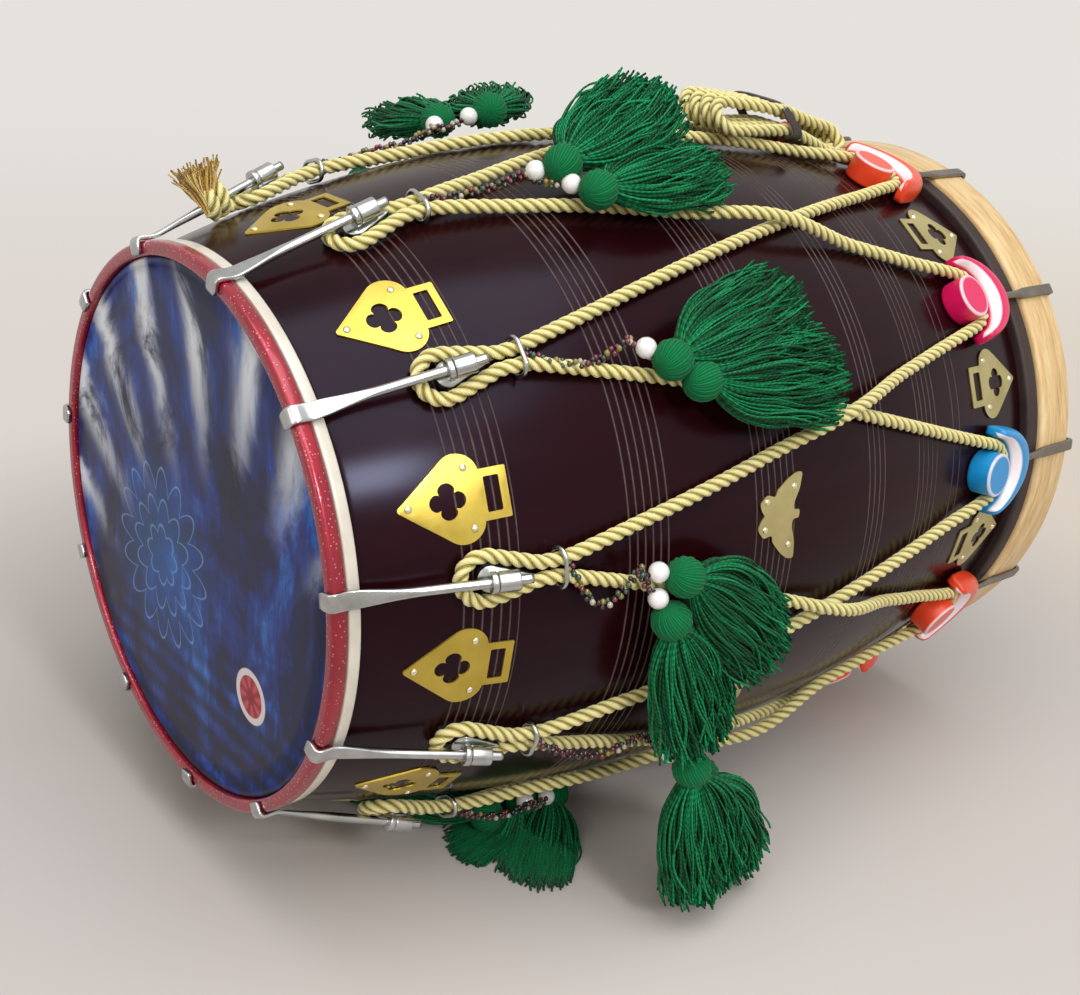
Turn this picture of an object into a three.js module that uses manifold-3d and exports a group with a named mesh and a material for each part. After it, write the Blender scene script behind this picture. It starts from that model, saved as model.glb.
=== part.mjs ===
// A dhol, lying on its side as it is kept: a barrel shell with a film head and a skin head,
// eleven claw rods with tuning nuts on the treble hoop, eleven hooked yokes on the bass hoop,
// and one rope laced between them, with a sliding ring and a pair of tassels at each lug.
// Millimetres. X runs from the treble head to the bass head, Z is up, and the origin is the
// centre of the treble head's face.
import * as THREE from 'three';
import { mergeVertices } from 'three/addons/utils/BufferGeometryUtils.js';
import Module from 'manifold-3d';

const wasm = await Module();
wasm.setup();

// The drum as a whole
const lugCount = 11; // odd, so that one rope visits every lug
const drumLength = 600; // from hoop face to hoop face
const fitGap = 0.3; // between pieces that touch
const roundSides = 36;
const hooksAheadDegrees = 3.74; // how far the bass yokes stand on from the treble rods

// The shell
const bellyRadius = 214;
const bellyShare = 0.5;
const trebleInset = 9.5; // of the barrel's curve inside each hoop, at the hoop's face
const bassInset = 19;
const shellWall = 14;
const edgeChamfer = 2.5;
const shellSteps = 10;

// The treble head and its hoops
const trebleHoopRadius = 170;
const trebleHoopBar = 8.5;
const trebleHoopDepth = 9.5;
const trebleHoopRound = 2.6;
const trebleHoopStand = 3.2; // its face before the head's face
const fleshHoopBar = 8;
const fleshHoopDepth = 7.5;
const filmWall = 1.2;
const filmBend = 2.5;

// The bass head and its hoop
const bassHoopRadius = 200;
const bassHoopBar = 15;
const bassHoopDepth = 34;
const bassHoopRound = 3;
const bassHoopStand = 4; // its face beyond the head's face
const skinWall = 2;
const lapBar = 12.5;
const lapDepth = 12.5;

// The rope
const ropeDiameter = 8.6;
const ropeSides = 6;
const overGap = 2.6; // spare height where one leg passes over another
const overReach = 70;
const legSpread = 0.4; // half the gap between the two legs at a ring
const legGap = 1; // under a leg, which runs straight between the drum's curves
const bightAt = 59; // the rope's outermost turn at a rod, from the treble head
const bightSteps = 6;
const yokeSteps = 6;
const legShares = [1, 0.68, 0.36, 0.09];
const easeLength = 55; // how far a leg takes to come down to the shell

// A claw rod with its thimble, and its nut
const strapWall = 2.8;
const strapWidth = 10;
const strapNeckWidth = 6.6;
const strapTaperLength = 34;
const clawLip = 8;
const rodDiameter = 5.4;
const rodSides = 8;
const rodSpareHeight = 1.2;
const thimbleNose = 8;
const thimbleTail = 22;
const thimbleDepth = 5.8;
const thimbleSides = 6;
const collarDiameter = 12.4;
const collarWidth = 3.5;
const nutDiameter = 11.4;
const nutLength = 12;
const nutChamfer = 1.2;
const rodTip = 7;

// A sliding ring
const ringAt = 117;
const ringWire = 2.6;
const ringGap = 0.7;
const ringTravel = 10;
const ringSteps = 4;
const ringSides = 4;

// A bass yoke with its steel hook
const yokeStand = 75; // from its core's middle to the hoop
const yokeArmWidth = 7; // at the arms' ends
const yokeNoseWidth = 28; // where the arms meet, at the hook
const yokeHeight = 17;
const yokeArmTail = 5;
const yokeArmShares = [[-1, -1], [-1, 0.35], [-0.45, 1], [0.45, 1], [1, 0.2], [0.9, -1]];
const yokeEndShare = 0.7;
const yokeCoreDiameter = 30;
const yokeWebWall = 3;
const yokeWebWidth = 20;
const coreSides = 10;
const hookWall = 3;
const hookWidth = 11;
const hookLip = 9;
const shankDiameter = 5;
const shankSides = 6;

// The spare rope, made up into a hank that stands on the legs on top
const spareLoops = 4;
const spareBendSteps = 6;
const spareRunSteps = 5;
const spareLug = 1.57;
const spareLeanDegrees = 25; // away from the near side
const spareStand = 124; // from its middle to the bass hoop
const spareRun = 112;
const spareBend = 11; // radius of the rope's centre line at the loops' ends
const sparePitch = 10.2;
const spareWaist = 2.5; // how far the tie draws in each run
const spareEaseShares = [-0.02, 0.5]; // where the hank comes down from the legs to the shell

// A pair of tassels on its bead string
const tasselHead = 22;
const tasselNeck = 11;
const tasselLength = 112;
const skirtWidth = 50;
const skirtThick = 18;
const tasselSides = 6;
const stringDiameter = 3.4;
const stringSides = 4;
const pearlDiameter = 11;

const lugPitch = 2 * Math.PI / lugCount;
const downLug = 7;
const trebleEndRadius = trebleHoopRadius - trebleInset;
const bassEndRadius = bassHoopRadius - bassInset;
const ropeRadius = ropeDiameter / 2;
const rodRadius = rodDiameter / 2;
const hooksAhead = THREE.MathUtils.degToRad(hooksAheadDegrees);

const trebleSeatRadius = trebleHoopRadius - trebleHoopBar - filmWall - 2 * fitGap;
const bassSeatRadius = bassHoopRadius - bassHoopBar - skinWall - 2 * fitGap;
const trebleEdgeX = filmWall + fitGap;
const trebleSeatX = trebleHoopDepth - trebleHoopStand + fleshHoopDepth + 2 * fitGap;
const bassHoopEndX = drumLength - trebleHoopStand;
const bassHoopStartX = bassHoopEndX - bassHoopDepth;
const bassFaceX = bassHoopEndX - bassHoopStand;
const bassEdgeX = bassFaceX - skinWall - fitGap;
const bassSeatX = bassHoopStartX - lapDepth - 2 * fitGap;
const bellyX = drumLength * bellyShare - trebleHoopStand;
const spareMiddle = bassHoopStartX - spareStand;

const steel = { color: 0xd6d8da, roughness: 0.25, metalness: 1 };
const paint = {
  shell: { color: 0x2a0f14, roughness: 0.22, metalness: 0 },
  film: { color: 0x1f3f8f, roughness: 0.35, metalness: 0 },
  redHoop: { color: 0x9c1226, roughness: 0.35, metalness: 0.4 },
  creamHoop: { color: 0xd9d2c0, roughness: 0.35, metalness: 0.7 },
  skin: { color: 0x3b2a20, roughness: 0.7, metalness: 0 },
  wood: { color: 0xd2a76b, roughness: 0.55, metalness: 0 },
  rope: { color: 0xd9c98a, roughness: 0.85, metalness: 0 },
  tassel: { color: 0x0c6b3c, roughness: 0.95, metalness: 0 },
};
const yokeColors = [0xe8481f, 0xd81b66, 0x1d9fd6, 0xe8481f];

const dhol = new THREE.Group();

// The lug's own turn about X: its outward direction is (sin, -cos) of this angle in Y and Z
function rodTurn(lug) {
  return (lug - downLug) * lugPitch - hooksAhead / 2;
}

function yokeTurn(lug) {
  return (lug - downLug) * lugPitch + hooksAhead / 2;
}

// The barrel's curve: two half parabolas that meet at the belly
function shellRadius(x) {
  const end = x < bellyX ? trebleEndRadius : bassEndRadius;
  return bellyRadius - (bellyRadius - end) * ((x - bellyX) / (drumLength / 2)) ** 2;
}

function shellSlope(x) {
  const end = x < bellyX ? trebleEndRadius : bassEndRadius;
  return -2 * (bellyRadius - end) * (x - bellyX) / (drumLength / 2) ** 2;
}

function around(x, turn, radius) {
  return new THREE.Vector3(x, radius * Math.sin(turn), -radius * Math.cos(turn));
}

// A closed body with shared corners, its faces turned outwards
function bodyOf(geometry) {
  const bare = geometry.clone();
  bare.deleteAttribute('normal');
  bare.deleteAttribute('uv');
  const body = mergeVertices(bare, 1e-4);
  const place = body.attributes.position;
  const kept = [];
  let volume = 0;
  const a = new THREE.Vector3();
  const b = new THREE.Vector3();
  const c = new THREE.Vector3();
  for (let i = 0; i < body.index.count; i += 3) {
    const corners = [body.index.getX(i), body.index.getX(i + 1), body.index.getX(i + 2)];
    if (new Set(corners).size < 3) continue;
    a.fromBufferAttribute(place, corners[0]);
    b.fromBufferAttribute(place, corners[1]);
    c.fromBufferAttribute(place, corners[2]);
    volume += a.dot(b.cross(c));
    kept.push(corners);
  }
  const faces = volume < 0 ? kept.map(([i, j, k]) => [i, k, j]) : kept;
  body.setIndex(faces.flat());
  return body;
}

function toSolid(geometry) {
  const body = bodyOf(geometry);
  return new wasm.Manifold(new wasm.Mesh({
    numProp: 3,
    vertProperties: new Float32Array(body.attributes.position.array),
    triVerts: new Uint32Array(body.index.array),
  }));
}

function fromSolid(solid) {
  const mesh = solid.getMesh();
  const geometry = new THREE.BufferGeometry();
  geometry.setAttribute('position', new THREE.BufferAttribute(new Float32Array(mesh.vertProperties), 3));
  geometry.setIndex(Array.from(mesh.triVerts));
  return geometry;
}

function joined(geometries) {
  return geometries.slice(1).reduce((sum, next) => sum.add(toSolid(next)), toSolid(geometries[0]));
}

function addPiece(name, geometry, look, turn = 0) {
  const shown = bodyOf(geometry);
  shown.computeVertexNormals();
  const mesh = new THREE.Mesh(shown, new THREE.MeshStandardMaterial(look));
  mesh.name = name;
  mesh.rotation.x = turn;
  dhol.add(mesh);
}

// A profile of [x, radius] corners revolved about X
function turned(profile, sides = roundSides) {
  const points = profile.map(([x, radius]) => new THREE.Vector2(radius, x));
  const closed = points[0].x > 0 ? [...points, points[0].clone()] : points;
  return new THREE.LatheGeometry(closed, sides).rotateZ(-Math.PI / 2);
}

// Rings of corners joined one after the other; a loop has no ends
function lofted(rings, loop = false) {
  const sides = rings[0].length;
  const corners = rings.flat().flatMap((p) => [p.x, p.y, p.z]);
  const faces = [];
  const spans = loop ? rings.length : rings.length - 1;
  for (let i = 0; i < spans; i += 1) {
    const next = ((i + 1) % rings.length) * sides;
    for (let j = 0; j < sides; j += 1) {
      const k = (j + 1) % sides;
      faces.push(i * sides + j, next + j, next + k, i * sides + j, next + k, i * sides + k);
    }
  }
  if (!loop) {
    const last = (rings.length - 1) * sides;
    for (let j = 1; j < sides - 1; j += 1) {
      faces.push(0, j, j + 1, last, last + j + 1, last + j);
    }
  }
  const geometry = new THREE.BufferGeometry();
  geometry.setAttribute('position', new THREE.BufferAttribute(new Float32Array(corners), 3));
  geometry.setIndex(faces);
  return geometry;
}

// A round or oval section carried along points, its first corner kept towards `outward`
function swept(points, outward, section, loop = false) {
  const rings = points.map((point, i) => {
    const before = points[loop ? (i + points.length - 1) % points.length : Math.max(i - 1, 0)];
    const after = points[loop ? (i + 1) % points.length : Math.min(i + 1, points.length - 1)];
    const along = after.clone().sub(before).normalize();
    const side = new THREE.Vector3().crossVectors(along, outward(point)).normalize();
    const up = new THREE.Vector3().crossVectors(side, along);
    const { high, wide, sides } = section(i);
    return Array.from({ length: sides }, (unused, j) => {
      const turn = 2 * Math.PI * j / sides;
      return point.clone()
        .addScaledVector(up, high * Math.cos(turn))
        .addScaledVector(side, wide * Math.sin(turn));
    });
  });
  return lofted(rings, loop);
}

function fromAxis(point) {
  return new THREE.Vector3(0, point.y, point.z).normalize();
}

// A flat outline in X and Z, thick in Y
function slab(outline, width) {
  const shape = new THREE.Shape(outline.map(([x, z]) => new THREE.Vector2(x, z)));
  const geometry = new THREE.ExtrudeGeometry(shape, { depth: width, bevelEnabled: false });
  return geometry.translate(0, 0, -width / 2).rotateX(Math.PI / 2);
}

// A flat outline in X and Y, raised from low to high in Z
function plate(outline, low, high) {
  const shape = new THREE.Shape(outline.map(([x, y]) => new THREE.Vector2(x, y)));
  const geometry = new THREE.ExtrudeGeometry(shape, { depth: high - low, bevelEnabled: false });
  return geometry.translate(0, 0, low);
}

function bar(radius, start, end, sides) {
  return new THREE.CylinderGeometry(radius, radius, end - start, sides)
    .rotateZ(-Math.PI / 2)
    .translate((start + end) / 2, 0, 0);
}

function makeShell() {
  const curve = (from, to, steps) => Array.from({ length: steps + 1 }, (unused, i) => {
    const x = from + (to - from) * i / steps;
    return [x, shellRadius(x)];
  });
  return turned([
    [trebleEdgeX, trebleSeatRadius - edgeChamfer],
    [trebleEdgeX + edgeChamfer, trebleSeatRadius],
    [trebleSeatX, trebleSeatRadius],
    ...curve(trebleSeatX, bassSeatX, shellSteps),
    [bassSeatX, bassSeatRadius],
    [bassEdgeX - edgeChamfer, bassSeatRadius],
    [bassEdgeX, bassSeatRadius - edgeChamfer],
    ...curve(bassEdgeX, trebleEdgeX, shellSteps / 2).map(([x, radius]) => [x, radius - shellWall]),
  ]);
}

// The film: a flat face, bent over the shell's edge into a collar for the flesh hoop
function makeFilm() {
  const collarOut = trebleHoopRadius - trebleHoopBar - fitGap;
  const collarIn = collarOut - filmWall;
  const collarEnd = trebleHoopDepth - trebleHoopStand + fleshHoopDepth;
  return turned([
    [0, 0],
    [0, collarOut - filmBend],
    [filmBend, collarOut],
    [collarEnd, collarOut],
    [collarEnd, collarIn],
    [trebleEdgeX + filmBend, collarIn],
    [filmWall, collarIn - filmBend],
    [filmWall, 0],
  ]);
}

function hoopProfile(start, end, inner, outer, round) {
  return [
    [start, inner + round],
    [start, outer - round],
    [start + round, outer],
    [end - round, outer],
    [end, outer - round],
    [end, inner],
    [start + round, inner],
  ];
}

function makeTrebleHoop() {
  const start = -trebleHoopStand;
  return turned(hoopProfile(start, start + trebleHoopDepth, trebleHoopRadius - trebleHoopBar,
    trebleHoopRadius, trebleHoopRound));
}

function makeFleshHoop() {
  const start = trebleHoopDepth - trebleHoopStand + fitGap;
  const inner = trebleHoopRadius - trebleHoopBar;
  return turned([
    [start, inner],
    [start, inner + fleshHoopBar],
    [start + fleshHoopDepth, inner + fleshHoopBar],
    [start + fleshHoopDepth, inner],
  ]);
}

// The skin: a flat face, a collar down the shell and a lap round its hidden ring of cane
function makeSkin() {
  const collarOut = bassHoopRadius - bassHoopBar - fitGap;
  const collarIn = collarOut - skinWall;
  const lapEnd = bassHoopStartX - fitGap;
  const lapStart = lapEnd - lapDepth;
  const lapOut = collarOut + lapBar;
  return turned([
    [bassFaceX, 0],
    [bassFaceX, collarOut - skinWall],
    [bassFaceX - skinWall, collarOut],
    [lapEnd, collarOut],
    [lapEnd, lapOut - lapBar / 2],
    [lapEnd - lapDepth / 4, lapOut],
    [lapStart, lapOut - lapBar / 4],
    [lapStart, collarIn],
    [bassEdgeX - edgeChamfer, collarIn],
    [bassFaceX - skinWall, collarIn - edgeChamfer],
    [bassFaceX - skinWall, 0],
  ]);
}

function makeBassHoop() {
  return turned(hoopProfile(bassHoopStartX, bassHoopEndX, bassHoopRadius - bassHoopBar,
    bassHoopRadius, bassHoopRound));
}

// The rod leaves its claw on the hoop and climbs to clear the rope's turn below it
const wrapRadius = thimbleNose + fitGap + ropeRadius;
const noseX = bightAt + ropeRadius + wrapRadius;
const rodStart = { x: trebleHoopDepth - trebleHoopStand, r: trebleHoopRadius + fitGap + strapWall / 2 };
const thimbleTop = -nutDiameter / 2 - fitGap;
const slopeTo = (x, rise) => Math.atan2(shellRadius(x) + rise - rodStart.r, x - rodStart.x);
const rodSlope = Math.max(
  slopeTo(bightAt + ropeRadius, 2 * fitGap + ropeDiameter + rodRadius + rodSpareHeight),
  slopeTo(noseX + thimbleTail, fitGap + thimbleDepth - thimbleTop),
);
const collarX = (noseX - rodStart.x) / Math.cos(rodSlope);
const nutStart = collarX + collarWidth / 2 + fitGap;
const rodEnd = nutStart + nutLength + rodTip;

// A piece along the rod's own line, put into the lug's frame of X along the drum and Z outwards
function onRod(geometry) {
  return geometry.rotateY(-rodSlope).translate(rodStart.x, 0, rodStart.r);
}

function makeClawRod() {
  const front = -trebleHoopStand - fitGap;
  const inner = trebleHoopRadius + fitGap;
  const hook = slab([
    [front, inner],
    [front, inner - clawLip],
    [front - strapWall, inner - clawLip],
    [front - strapWall, inner + strapWall / 2],
    [front - strapWall / 2, inner + strapWall],
    [rodStart.x, inner + strapWall],
    [rodStart.x + strapWall / 4, inner + strapWall / 2],
    [rodStart.x + strapWall / 4, inner],
  ], strapWidth);
  const taper = onRod(plate([
    [0, -strapWidth / 2],
    [strapTaperLength, -strapNeckWidth / 2],
    [strapTaperLength, strapNeckWidth / 2],
    [0, strapWidth / 2],
  ], -strapWall / 2, strapWall / 2));
  const rod = onRod(bar(rodRadius, strapTaperLength - strapWall, rodEnd, rodSides));
  const collar = onRod(bar(collarDiameter / 2, collarX - collarWidth / 2, collarX + collarWidth / 2, rodSides));
  const nose = Array.from({ length: thimbleSides + 1 }, (unused, i) => {
    const turn = Math.PI * (1 / 2 + i / thimbleSides);
    return [collarX + thimbleNose * Math.cos(turn), thimbleNose * Math.sin(turn)];
  });
  const thimble = onRod(plate([...nose, [collarX + thimbleTail, 0]], thimbleTop - thimbleDepth, thimbleTop));
  const cheek = onRod(plate([
    [collarX - collarWidth / 2, -thimbleNose / 2],
    [collarX + collarWidth / 2, -thimbleNose / 2],
    [collarX + collarWidth / 2, thimbleNose / 2],
    [collarX - collarWidth / 2, thimbleNose / 2],
  ], thimbleTop - thimbleDepth / 2, 0));
  return fromSolid(joined([hook, taper, rod, collar, cheek, thimble]));
}

function makeNut() {
  const outer = nutDiameter / 2;
  const bore = rodRadius + fitGap;
  return onRod(turned([
    [nutStart, bore],
    [nutStart, outer - nutChamfer],
    [nutStart + nutChamfer, outer],
    [nutStart + nutLength, outer],
    [nutStart + nutLength, bore],
  ], rodSides));
}

// The rope's height over the shell where it passes a ring, and where it lies in a yoke
const legSide = ropeRadius + legSpread;
const ringBend = ropeRadius + ringGap + ringWire / 2;
const ringLift = ringBend + ringWire / 2 + 2 * fitGap;
const restLift = ropeRadius + legGap;
const yokeLift = fitGap + yokeHeight / 2;
const yokeX = bassHoopStartX - yokeStand;
const yokeWrap = yokeCoreDiameter / 2 + fitGap + ropeRadius;
const yokeSeat = shellRadius(yokeX) + yokeLift;
const legAngle = Math.atan(lugPitch * yokeSeat / (yokeX - ringAt));

function makeRing() {
  const rise = shellRadius(ringAt) + ringLift;
  const points = [];
  for (const end of [1, -1]) {
    for (let i = 0; i <= ringSteps; i += 1) {
      const turn = Math.PI * (i / ringSteps - 1 / 2);
      points.push(new THREE.Vector3(ringAt, end * (legSide + ringBend * Math.cos(turn)),
        rise + end * ringBend * Math.sin(turn)));
    }
  }
  const half = ringWire / 2;
  return swept(points, () => new THREE.Vector3(1, 0, 0),
    () => ({ high: half, wide: half, sides: ringSides }), true);
}

// The yoke lies on the shell, so it leans with the shell's slope at its core
function onYoke(geometry) {
  return geometry.rotateY(-Math.atan(shellSlope(yokeX))).translate(yokeX, 0, yokeSeat);
}

// Two arms round the rope's groove, thin at their ends and broad where they meet
function makeYoke() {
  const groove = yokeWrap + ropeRadius + fitGap;
  const arms = Array.from({ length: yokeSteps + 1 }, (unused, i) => {
    const turn = (Math.PI / 2 - legAngle) * (1 - 2 * i / yokeSteps);
    const outer = 1 / Math.hypot(Math.cos(turn) / (groove + yokeNoseWidth),
      Math.sin(turn) / (groove + yokeArmWidth));
    const away = new THREE.Vector3(Math.cos(turn), Math.sin(turn), 0);
    return { away, middle: away.clone().multiplyScalar((groove + outer) / 2), half: (outer - groove) / 2 };
  });
  const ringOf = ({ away, middle, half }, size = 1) => yokeArmShares.map(([across, up]) => (
    middle.clone().addScaledVector(away, size * half * across).setZ(size * up * yokeHeight / 2)));
  const endOf = (arm) => {
    const tail = new THREE.Vector3(-Math.cos(legAngle), Math.sign(arm.away.y) * Math.sin(legAngle), 0);
    return ringOf({ ...arm, middle: arm.middle.clone().addScaledVector(tail, yokeArmTail) }, yokeEndShare);
  };
  const horseshoe = onYoke(lofted([endOf(arms[0]), ...arms.map((arm) => ringOf(arm)),
    endOf(arms[yokeSteps])]));
  const core = onYoke(new THREE.CylinderGeometry(yokeCoreDiameter / 2, yokeCoreDiameter / 2,
    yokeHeight, coreSides).rotateX(Math.PI / 2));
  const web = onYoke(plate([
    [0, -yokeWebWidth / 2],
    [groove + yokeWebWall, -yokeWebWidth / 2],
    [groove + yokeWebWall, yokeWebWidth / 2],
    [0, yokeWebWidth / 2],
  ], -yokeHeight / 2, yokeWebWall - yokeHeight / 2));
  const noseAt = groove + yokeNoseWidth - shankDiameter;
  const apex = yokeX + noseAt;
  const shankEnd = bassHoopStartX - fitGap;
  const strapLow = bassHoopRadius + fitGap;
  const strapMiddle = strapLow + hookWall / 2;
  const apexRise = yokeSeat + shellSlope(yokeX) * noseAt;
  const reach = new THREE.Vector3(shankEnd - apex, 0, strapMiddle - apexRise);
  const shank = bar(shankDiameter / 2, 0, reach.length(), shankSides)
    .rotateY(-Math.atan2(reach.z, reach.x)).translate(apex, 0, apexRise);
  const back = bassHoopEndX + fitGap;
  const hook = slab([
    [shankEnd - hookWall, strapLow],
    [shankEnd - hookWall, strapLow + hookWall],
    [back + hookWall / 2, strapLow + hookWall],
    [back + hookWall, strapLow + hookWall / 2],
    [back + hookWall, strapLow - hookLip],
    [back, strapLow - hookLip],
    [back, strapLow],
  ], hookWidth);
  return fromSolid(joined([horseshoe, core, web, shank, hook]));
}

const tasselLift = 2 * restLift; // so that a tassel lies on the legs

// Where a leg starts and ends, as turns from its rod's and its yoke's own line
const joinX = ringAt - ringWire / 2 - ringTravel;
const legStartX = ringAt + ringWire;
const legEndX = yokeX + yokeWrap * Math.sin(legAngle);
const startTurn = legSide / (shellRadius(ringAt) + ringLift);
const endTurn = yokeWrap * Math.cos(legAngle) / yokeSeat;
const crossShare = (lugPitch - 2 * startTurn) / (2 * (lugPitch - startTurn - endTurn));
const crossX = legStartX + crossShare * (legEndX - legStartX);

function easedLift(x) {
  const fromRing = THREE.MathUtils.smoothstep(x, legStartX, legStartX + easeLength);
  const toYoke = THREE.MathUtils.smoothstep(x, legEndX - easeLength, legEndX);
  return restLift + (ringLift - restLift) * (1 - fromRing) + (yokeLift - restLift) * toYoke;
}

// A leg from rod to yoke, in even steps of turn, humped where it passes over its neighbour
function legPoints(rodLug, yokeLug, over) {
  const way = Math.sign(yokeLug - rodLug);
  const start = rodTurn(rodLug) + way * startTurn;
  const end = yokeTurn(yokeLug) - way * endTurn;
  const before = legShares.map((share) => crossX - share * (crossX - legStartX));
  const after = legShares.map((share) => crossX + share * (legEndX - crossX)).reverse();
  return [...before, ...after].map((x) => {
    const turn = start + (end - start) * (x - legStartX) / (legEndX - legStartX);
    const near = Math.max(0, 1 - Math.abs(x - crossX) / overReach);
    const hump = over ? (ropeDiameter + overGap) * Math.sin(near * Math.PI / 2) ** 2 : 0;
    return around(x, turn, shellRadius(x) + easedLift(x) + hump);
  });
}

// The turn round a thimble, from the low side to the high side of its lug
function bightPoints(lug) {
  const reach = Math.hypot(joinX - noseX, legSide);
  const touch = Math.atan2(legSide, joinX - noseX) + Math.acos(wrapRadius / reach);
  const points = [];
  const place = (x, side) => {
    const share = THREE.MathUtils.clamp((x - bightAt) / (joinX - bightAt), 0, 1);
    const radius = shellRadius(x) + restLift + (ringLift - restLift) * share;
    points.push(around(x, rodTurn(lug) + side / radius, radius));
  };
  place(joinX, -legSide);
  for (let i = 0; i <= bightSteps; i += 1) {
    const turn = -touch - (2 * Math.PI - 2 * touch) * i / bightSteps;
    place(noseX + wrapRadius * Math.cos(turn), wrapRadius * Math.sin(turn));
  }
  place(joinX, legSide);
  return points;
}

// The turn round a yoke's core, from the low side to the high side of its lug
function yokePoints(lug) {
  return Array.from({ length: yokeSteps - 1 }, (unused, i) => {
    const turn = (Math.PI / 2 - legAngle) * (2 * (i + 1) / yokeSteps - 1);
    const x = yokeX + yokeWrap * Math.cos(turn);
    const radius = shellRadius(yokeX) + shellSlope(yokeX) * (x - yokeX) + yokeLift;
    return around(x, yokeTurn(lug) + yokeWrap * Math.sin(turn) / radius, radius);
  });
}

function crossesOver(rodLug, yokeLug) {
  const crossing = (Math.min(rodLug, yokeLug) + lugCount) % lugCount;
  const forward = yokeLug > rodLug;
  return crossing % 2 === 0 ? forward : !forward;
}

// What lies on the floor is cut flat there
let floor = 0;

function cutAtFloor(solid) {
  const under = new THREE.BoxGeometry(drumLength, 2 * drumLength, bellyRadius)
    .translate(drumLength / 2, 0, floor - bellyRadius / 2);
  return solid.subtract(toSolid(under));
}

// One endless rope: rod, yoke, rod, yoke, one lug further each time, twice round the drum
function makeLacing() {
  const points = [];
  for (let i = 0; i < lugCount; i += 1) {
    const lug = 2 * i;
    const rodLug = lug % lugCount;
    points.push(...bightPoints(rodLug));
    points.push(...legPoints(rodLug, rodLug + 1, crossesOver(rodLug, rodLug + 1)));
    points.push(...yokePoints(rodLug + 1));
    const nextRod = rodLug + 2;
    points.push(...legPoints(nextRod, rodLug + 1,
      crossesOver(nextRod % lugCount, (nextRod % lugCount) - 1)).reverse());
  }
  const rope = swept(points, fromAxis,
    () => ({ high: ropeRadius, wide: ropeRadius, sides: ropeSides }), true);
  rope.computeBoundingBox();
  floor = rope.boundingBox.min.z + ropeDiameter / 10;
  return fromSolid(cutAtFloor(toSolid(rope)));
}

// The hank's route in the plane of its loops: along the top run, round the bass end, back along
// the low run and round the treble end, half a pitch nearer along each run, from waist to waist
function hankRoute() {
  const half = spareRun / 2;
  const corner = [];
  for (const end of [1, -1]) {
    for (let i = 0; i <= spareBendSteps; i += 1) {
      const turn = Math.PI * i / spareBendSteps;
      const along = end * (half + spareBend * Math.sin(turn));
      corner.push({ along, high: end * spareBend * Math.cos(turn), climb: (1 - end) / 4 });
    }
    for (let i = 1; i < spareRunSteps; i += 1) {
      const along = half * (1 - 2 * i / spareRunSteps);
      const drawn = spareWaist * Math.cos(Math.PI * along / spareRun) ** 2;
      const climb = (1 - end) / 4 + i / spareRunSteps / 2;
      corner.push({ along: end * along, high: -end * (spareBend - drawn), climb });
    }
  }
  const route = [];
  const total = spareLoops * corner.length;
  const begin = corner.length - Math.ceil(spareRunSteps / 2);
  for (let i = 0; i <= total; i += 1) {
    const { along, high, climb } = corner[(begin + i) % corner.length];
    const turns = Math.floor((begin + i) / corner.length) + climb - 1;
    route.push({ along, high, near: sparePitch * (turns - spareLoops / 2) });
  }
  return route;
}

function makeSpareRope() {
  const turn = (spareLug - downLug) * lugPitch;
  const lean = THREE.MathUtils.degToRad(spareLeanDegrees);
  const outward = around(0, turn, 1);
  const nearward = around(0, turn + Math.PI / 2, 1);
  const onLegs = restLift + ropeRadius;
  const [easeFrom, easeTo] = spareEaseShares.map((share) => spareMiddle + share * spareRun);
  const points = hankRoute().map(({ along, high, near }) => {
    const x = spareMiddle + along;
    const lift = fitGap + onLegs * (1 - THREE.MathUtils.smoothstep(x, easeFrom, easeTo));
    const rise = shellRadius(x) + lift + ropeRadius + (spareBend + high) * Math.cos(lean);
    return new THREE.Vector3(x, 0, 0)
      .addScaledVector(outward, rise)
      .addScaledVector(nearward, near - high * Math.sin(lean));
  });
  let least = Infinity;
  for (let i = 0; i < points.length; i += 1) {
    for (let j = i + spareBendSteps; j < points.length; j += 1) {
      least = Math.min(least, points[i].distanceTo(points[j]) - ropeDiameter);
    }
  }
  console.log(`spare rope: least gap to itself ${least.toFixed(2)} mm`);
  return swept(points, () => nearward,
    () => ({ high: ropeRadius, wide: ropeRadius, sides: ropeSides }));
}

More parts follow.
